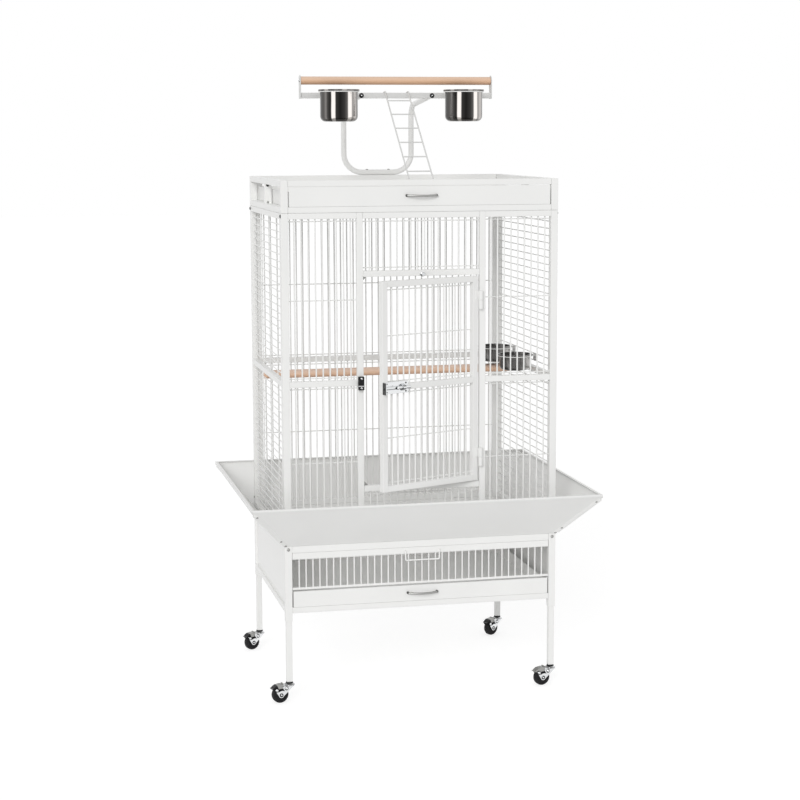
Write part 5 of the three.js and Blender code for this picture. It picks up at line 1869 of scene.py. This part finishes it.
    def flanks(self, solids: Solids, start: float, end: float, outer: float, depth: float) -> None:
        """Adds the two side walls that hang from the brake's hood beside the wheel.

        Args:
            solids: where they are added.
            start: their first angle about the axle, in degrees.
            end: their last angle.
            outer: their outer radius.
            depth: their thickness.
        """
        outline = [*arc(self.axle, outer, start, end, 12), *arc(self.axle, self.flank_radius, end, start, 12)]
        near = self.wheel_width / 2 + self.flank_gap
        for y in (-near, near + depth):
            solids.prism(outline, depth, side_plane(y))

    def build(self) -> None:
        """Builds the caster."""
        self.fork()
        self.wheel()
        self.brake()


# Play gym and feeding


@dataclass
class Gym:
    """The play gym on the roof with its perches and ladder, and the perch in the cage."""

    shop: Workshop
    plane_y: float = 22.0
    tube_radius: float = 7.9
    tube_spacing: float = 203.0
    tube_bend: float = 54.0
    arm_bend: float = 40.0
    bar_rise: float = 219.3
    arm_fall: float = 25.0
    bar_size: float = 15.6
    bar_length: float = 551.0
    washer_height: float = 3.4
    foot_bolt_x: float = 32.5
    end_width: float = 25.0
    end_height: float = 65.0
    end_plate: float = 2.5
    end_drop: float = 1.0
    perch_radius: float = 11.2
    perch_rise: float = 49.0
    ladder_width: float = 66.0
    ladder_radius: float = 2.0
    rung_radius: float = 1.75
    rung_pitch: float = 62.0
    first_rung: float = 33.0
    hook_drop: float = 10.0
    hook_gap: float = 0.4
    ladder_foot: float = -283.0
    inner_perch_radius: float = 12.0
    inner_perch_y: float = 115.0
    inner_perch_gap: float = 0.6

    @property
    def bar_height(self) -> float:
        """Height of the crossbar's lower face."""
        return self.shop.sizes.box_top + self.bar_rise

    @property
    def bar_top(self) -> float:
        """Height of the crossbar's top."""
        return self.bar_height + self.bar_size

    @property
    def bar_front(self) -> float:
        """Y of the crossbar's front face."""
        return self.plane_y - self.bar_size / 2

    @property
    def bar_back(self) -> float:
        """Y of the crossbar's back face."""
        return self.plane_y + self.bar_size / 2

    def tube(self) -> None:
        """Builds the bent tube that stands on the back rail, with its washers and bolts."""
        sizes, radius = self.shop.sizes, self.tube_radius
        x = self.tube_spacing / 2
        arm_z = self.bar_height + self.bar_size / 2
        post_y = sizes.half_depth - sizes.rail / 2
        slant = math.atan(self.arm_fall / (post_y - self.bar_back))
        arm_y = self.bar_back + sizes.gap + radius * math.sin(slant)
        knee_z = arm_z - self.arm_fall
        foot_z = sizes.box_top + sizes.gap + radius
        half_way = (knee_z + foot_z) / 2

        def upper(side: int) -> list[Vector]:
            """One arm, from the crossbar down to half way."""
            corners = [(side * x, arm_y, arm_z), (side * x, post_y, knee_z), (side * x, post_y, half_way)]
            return rounded_route(corners, self.arm_bend, 14)

        corners = [(-x, post_y, half_way), (-x, post_y, foot_z), (x, post_y, foot_z), (x, post_y, half_way)]
        lower = rounded_route(corners, self.tube_bend, 16)
        solids = Solids()
        solids.sweep([*upper(-1), *lower[1:-1], *reversed(upper(1))], radius, 28)
        self.shop.piece("gym_bent_tube", "cage", solids, ENAMEL, "gym_tube")
        front = self.bar_front
        self.shop.fasten("gym_washers", ARM_WASHER, [(-x, front, arm_z), (x, front, arm_z)], (0, -1, 0))
        front -= self.washer_height
        self.shop.fasten("gym_bolts", ARM_BOLT, [(-x, front, arm_z), (x, front, arm_z)], (0, -1, 0))
        seats = [(side * self.foot_bolt_x, post_y, foot_z + radius - 0.6) for side in SIDES.values()]
        self.shop.fasten("gym_foot_bolts", FOOT_BOLT, seats, (0, 0, 1))

    def crossbar(self) -> None:
        """Builds the crossbar with its end plates."""
        solids = Solids()
        half, radius = self.bar_length / 2, self.end_width / 2
        solids.block((-half + 1, self.bar_front, self.bar_height), (half - 1, self.bar_back, self.bar_top))
        bottom = self.bar_height - self.end_drop
        shoulder = bottom + self.end_height - radius
        outline = [Vector((self.plane_y - radius, bottom)), Vector((self.plane_y + radius, bottom))]
        outline += arc((self.plane_y, shoulder), radius, 0, 180, 18)
        for x in (-half, half - self.end_plate):
            solids.prism(outline, self.end_plate, end_plane(x))
        self.shop.piece("gym_crossbar_finished", "cage", solids, SHADED_ENAMEL, "gym_crossbar", 0.8)
        for name, side in SIDES.items():
            seat = (side * half, self.plane_y, self.bar_height + self.perch_rise)
            self.shop.fasten(f"perch_screw_{name}", BRIGHT_SCREW, [seat], (side, 0, 0))

    def perch(self) -> None:
        """Builds the wooden perch between the crossbar's end plates."""
        half = self.bar_length / 2 - self.end_plate - self.shop.sizes.gap
        place = axis_matrix(Axis.X, (0, self.plane_y, self.bar_height + self.perch_rise))
        solids = Solids()
        solids.revolve(rod(self.perch_radius, -half, half, 1.0), place, 48)
        self.shop.piece("gym_perch_dowel", "cage", solids, WOOD, "gym_perch")

    def inner_perch(self) -> None:
        """Builds the wooden perch in the cage."""
        sizes, radius = self.shop.sizes, self.inner_perch_radius
        half = sizes.wires_inside - sizes.gap
        z = sizes.mid_bottom - self.inner_perch_gap - radius
        solids = Solids()
        solids.revolve(rod(radius, -half, half, 1.0), axis_matrix(Axis.X, (0, self.inner_perch_y, z)), 48)
        self.shop.piece("inner_perch_dowel", "cage", solids, PALE_WOOD, "inner_perch")

    def ladder(self) -> None:
        """Builds the wire ladder with its hooks over the crossbar."""
        sizes, half = self.shop.sizes, self.ladder_width / 2
        reach = self.ladder_radius + self.hook_gap
        front, back, top = self.bar_front - reach, self.bar_back + reach, self.bar_top + reach
        head = Vector((0, front, self.bar_top - self.ladder_radius))
        foot = Vector((0, self.ladder_foot, sizes.box_top + sizes.gap + self.ladder_radius))
        solids = Solids()
        hook = [(back, self.bar_top - self.hook_drop), (back, top), (front, top), head.yz, foot.yz]
        for x in (-half, half):
            route = rounded_route([(x, *point) for point in hook], self.ladder_radius, 5)
            solids.sweep(route, self.ladder_radius, 14)
        slope = (foot - head).normalized()
        count = int(((foot - head).length - self.first_rung) / self.rung_pitch) + 1
        first = head + slope * self.first_rung
        step, run = tuple(slope * self.rung_pitch), (self.ladder_width, 0, 0)
        row = BarRow((-half, first.y, first.z), step, run, count, self.rung_radius)
        self.shop.piece("ladder_wires", "ladder", solids, SHADED_ENAMEL, "gym_ladder", rows=[row])

    def build(self) -> None:
        """Builds the gym's frame, perches and ladder."""
        self.tube()
        self.crossbar()
        self.perch()
        self.ladder()
        self.inner_perch()


@dataclass
class CupShape:
    """A feeding cup and the wire ring that holds it."""

    radius: float
    height: float
    corner: float
    ring_wire: float
    flange: float = 5.5
    wall: float = 1.2
    rim: float = 2.0
    lip: float = 4.2
    ring_gap: float = 1.0
    ring_seen: float = 1.4
    ring_steps: int = 64

    @property
    def ring_inner(self) -> float:
        """The ring's inner radius."""
        return self.radius + self.ring_gap

    def bowl(self, place: Sequence[float]) -> Solids:
        """Builds the cup.

        Args:
            place: its foot's place.

        Returns:
            The cup as a solid.
        """
        radius, height, wall, roll = self.radius, self.height, self.wall, self.lip / 2
        bend = (radius - self.corner, self.corner)
        outside = arc(bend, self.corner, 270, 360, 12)
        inside = arc(bend, self.corner - wall, 360, 270, 12)
        bead = arc((radius + self.flange - roll, height - roll), roll, 270, 450, 8)
        profile = [
            (0, 0), *outside, (radius, height - self.lip - 1.5), (radius + 1.0, height - self.lip), *bead,
            (radius + 1.5, height), (radius - wall + 0.6, height - 0.8), (radius - wall, height - 2.6),
            *inside, (0, wall),
        ]
        solids = Solids()
        solids.revolve(profile, Matrix.Translation(place), 72)
        return solids

    def ring(self, centre: Sequence[float]) -> Solids:
        """Builds the wire ring.

        Args:
            centre: the middle of the CAD ring.

        Returns:
            The ring as a solid, level with the CAD ring's lower side.
        """
        x, y, z = centre
        z += self.ring_seen - self.ring_wire
        route = arc((x, y), self.ring_inner + self.ring_wire, 0, 360, self.ring_steps)[:-1]
        solids = Solids()
        solids.sweep([Vector((*point, z)) for point in route], self.ring_seen, 14, closed=True)
        return solids


@dataclass
class Feeding:
    """The four cups and their rings."""

    shop: Workshop
    gym: Gym
    gym_cup: CupShape
    inner_cup: CupShape
    gym_spacing: float = 355.0
    bar_clearance: float = 10.7
    inner_distance: float = 60.0
    inner_ring_rise: float = 34.0
    inner_places: Pair = (-115.0, 100.0)
    tab_width: float = 20.0
    tab: float = 2.2
    plate_width: float = 30.0
    plate_below: float = 17.0
    plate_above: float = 5.0
    plate: float = 2.0
    edge: float = 0.5

    def gym_cups(self) -> None:
        """Builds the cups in front of the crossbar, their rings and the rings' screws."""
        sizes, gym, cup = self.shop.sizes, self.gym, self.gym_cup
        y = gym.bar_front - cup.radius - self.bar_clearance
        seat = gym.bar_top + sizes.gap
        ring_z = seat + cup.ring_wire
        foot = ring_z + cup.ring_wire + sizes.gap + cup.rim - cup.height
        for name, side in SIDES.items():
            x, half = side * self.gym_spacing / 2, self.tab_width / 2
            bowl = cup.bowl((x, y, foot))
            self.shop.piece(f"gym_bowl_{name}", f"gym_cup_{name[0]}", bowl, STEEL, f"gym_cup_{name}")
            holder = cup.ring((x, y, ring_z))
            tab_y = y + cup.ring_inner + cup.ring_wire
            holder.block((x - half, tab_y, seat), (x + half, gym.bar_back, seat + self.tab))
            self.shop.piece(f"gym_ring_{name}", "cage", holder, ENAMEL, f"gym_cup_ring_{name}", self.edge)
            screw = (x, gym.plane_y, seat + self.tab)
            self.shop.fasten(f"gym_ring_screw_{name}", BRIGHT_SCREW, [screw], (0, 0, 1))

    def inner_cups(self) -> None:
        """Builds the cups inside the right wall, with their rings' arms and plates."""
        sizes, cup = self.shop.sizes, self.inner_cup
        x = sizes.wires_inside - self.inner_distance
        outer = sizes.wires_inside - sizes.gap
        z = sizes.mid_top + self.inner_ring_rise
        foot = z + cup.ring_wire + sizes.gap + cup.rim - cup.height
        half, low, high = self.plate_width / 2, z - self.plate_below, z + self.plate_above
        arm_z = z - cup.ring_wire + cup.ring_seen
        for name, body, y in zip(("front", "rear"), ("inner_cup_f", "inner_cup_b"), self.inner_places):
            bowl = cup.bowl((x, y, foot))
            self.shop.piece(f"inner_bowl_{name}", body, bowl, SHADED_BOWL_STEEL, f"inner_cup_{name}")
            holder = cup.ring((x, y, z))
            holder.block((outer - self.plate, y - half, low), (outer, y + half, high))
            for arm_y in (y - self.plate_width / 3, y + self.plate_width / 3):
                arm = [Vector((x + cup.ring_inner, arm_y, arm_z)), Vector((outer - 1, arm_y, arm_z))]
                holder.sweep(arm, cup.ring_seen, 14)
            self.shop.piece(f"inner_ring_{name}", "cage", holder, ENAMEL, f"inner_cup_ring_{name}", self.edge)

    def build(self) -> None:
        """Builds every cup."""
        self.gym_cups()
        self.inner_cups()


# Light, floor and camera


@dataclass
class Studio:
    """The pale floor, soft lights and the camera."""

    shift_y: float
    camera_place: Triple = (-1.1668, -5.2620, 1.5448)
    yaw: float = 12.533
    pitch: float = 8.0615
    roll: float = 0.197
    focal_pixels: float = 1900.28
    frame_pixels: float = 800.0
    film_width: float = 36.0
    sky_level: float = 0.58
    sun_strength: float = 1.27
    sun_width: float = 28.0
    sun_from: Triple = (-0.42, -0.82, 0.4)
    floor_half: float = 30.0
    floor_shade: float = 0.42
    floor_lift: float = 0.73

    def camera(self) -> None:
        """Sets the camera up at the photograph's viewpoint."""
        yaw, pitch, roll = (math.radians(a) for a in (self.yaw, self.pitch, self.roll))
        aim = Matrix.Rotation(-yaw, 4, "Z") @ Matrix.Rotation(math.pi / 2 - pitch, 4, "X")
        x, y, z = self.camera_place
        place = Matrix.Translation((x, y + self.shift_y, z))
        data = bpy.data.cameras.new("photo_camera")
        data.sensor_fit = "HORIZONTAL"
        data.sensor_width = self.film_width
        data.lens = self.focal_pixels * self.film_width / self.frame_pixels
        data.clip_end = 2 * self.floor_half
        target = stand_object("photo_camera", data)
        target.matrix_world = place @ aim @ Matrix.Rotation(-roll, 4, "Z")
        bpy.context.scene.camera = target

    def sun(self) -> None:
        """Adds the one wide soft lamp."""
        data = bpy.data.lights.new("soft_key", "SUN")
        data.energy = self.sun_strength
        data.angle = math.radians(self.sun_width)
        turn = (-Vector(self.sun_from)).to_track_quat("-Z", "Y")
        stand_object("soft_key", data).matrix_world = turn.to_matrix().to_4x4()

    @staticmethod
    def seen_white(graph: Graph) -> Wire:
        """A mask that is 1 for what the camera, mirrors and glass see directly.

        Args:
            graph: the node graph.

        Returns:
            The mask.
        """
        path = graph.node("ShaderNodeLightPath")
        total = path["Is Camera Ray"] + path["Is Glossy Ray"] + path["Is Transmission Ray"]
        return graph.node("ShaderNodeMath", {"operation": "MINIMUM"}, {0: total, 1: 1.0})[0]

    def world(self) -> None:
        """Builds the even surround: white where it is seen, softer as light."""
        world = bpy.data.worlds.new("studio")
        world.use_nodes = True
        graph = Graph(world.node_tree)
        strength = self.seen_white(graph) * (1.0 - self.sky_level) + self.sky_level
        light = graph.node("ShaderNodeBackground", sockets={"Color": (1, 1, 1, 1), "Strength": strength})
        graph.node("ShaderNodeOutputWorld", sockets={"Surface": light[0]})
        bpy.context.scene.world = world

    def floor_material(self) -> bpy.types.Material:
        """Builds the floor's white, lifted where it is seen so that it fades into the surround.

        Returns:
            The material.
        """
        material = bpy.data.materials.new("floor_white")
        material.use_nodes = True
        graph = Graph(material.node_tree)
        cloud = graph.noise(graph.node("ShaderNodeTexCoord")["Object"], 2.0)
        base = graph.mix_colour(cloud, (0.89, 0.89, 0.89, 1), (0.91, 0.91, 0.91, 1))
        matt = graph.node("ShaderNodeBsdfDiffuse", sockets={"Color": base})
        shade = self.floor_shade
        faint = graph.node("ShaderNodeBsdfDiffuse", sockets={"Color": (shade, shade, shade, 1)})
        glow = graph.node("ShaderNodeEmission", sockets={"Color": (1, 1, 1, 1), "Strength": self.floor_lift})
        both = graph.node("ShaderNodeAddShader", sockets={0: faint[0], 1: glow[0]})
        sockets = {0: self.seen_white(graph), 1: matt[0], 2: both[0]}
        seen = graph.node("ShaderNodeMixShader", sockets=sockets)
        graph.node("ShaderNodeOutputMaterial", sockets={"Surface": seen[0]})
        return material

    def floor(self) -> None:
        """Builds the white floor."""
        half = self.floor_half
        mesh = bpy.data.meshes.new("floor")
        corners = [(-half, -half, 0), (half, -half, 0), (half, half, 0), (-half, half, 0)]
        mesh.from_pydata(corners, [], [(0, 1, 2, 3)])
        mesh.materials.append(self.floor_material())
        stand_object("floor", mesh)

    def build(self) -> None:
        """Builds the whole studio."""
        bpy.context.scene.view_settings.view_transform = "Standard"
        self.world()
        self.floor()
        self.camera()
        self.sun()


def main() -> None:
    """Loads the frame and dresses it."""
    logging.basicConfig(level=logging.INFO, format="%(name)s: %(message)s")
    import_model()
    sizes = CageSizes()
    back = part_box("back_wall")[1].y
    shift = back - sizes.half_depth * MILLIMETRE
    shop = Workshop(sizes, Matrix.Translation((0, shift, 0)) @ Matrix.Scale(MILLIMETRE, 4))
    Walls(shop).build()
    Door(shop, DoorShape(sizes)).build()
    Stand(shop).build()
    for name, turned in CASTER_TURNS.items():
        Caster(shop, name, turned).build()
    gym = Gym(shop)
    gym.build()
    Feeding(shop, gym, CupShape(52.0, 88.0, 15.0, 2.5), CupShape(44.5, 45.0, 12.0, 2.2)).build()
    Studio(shift).build()
    bpy.context.view_layer.update()


if __name__ == "__main__":
    main()
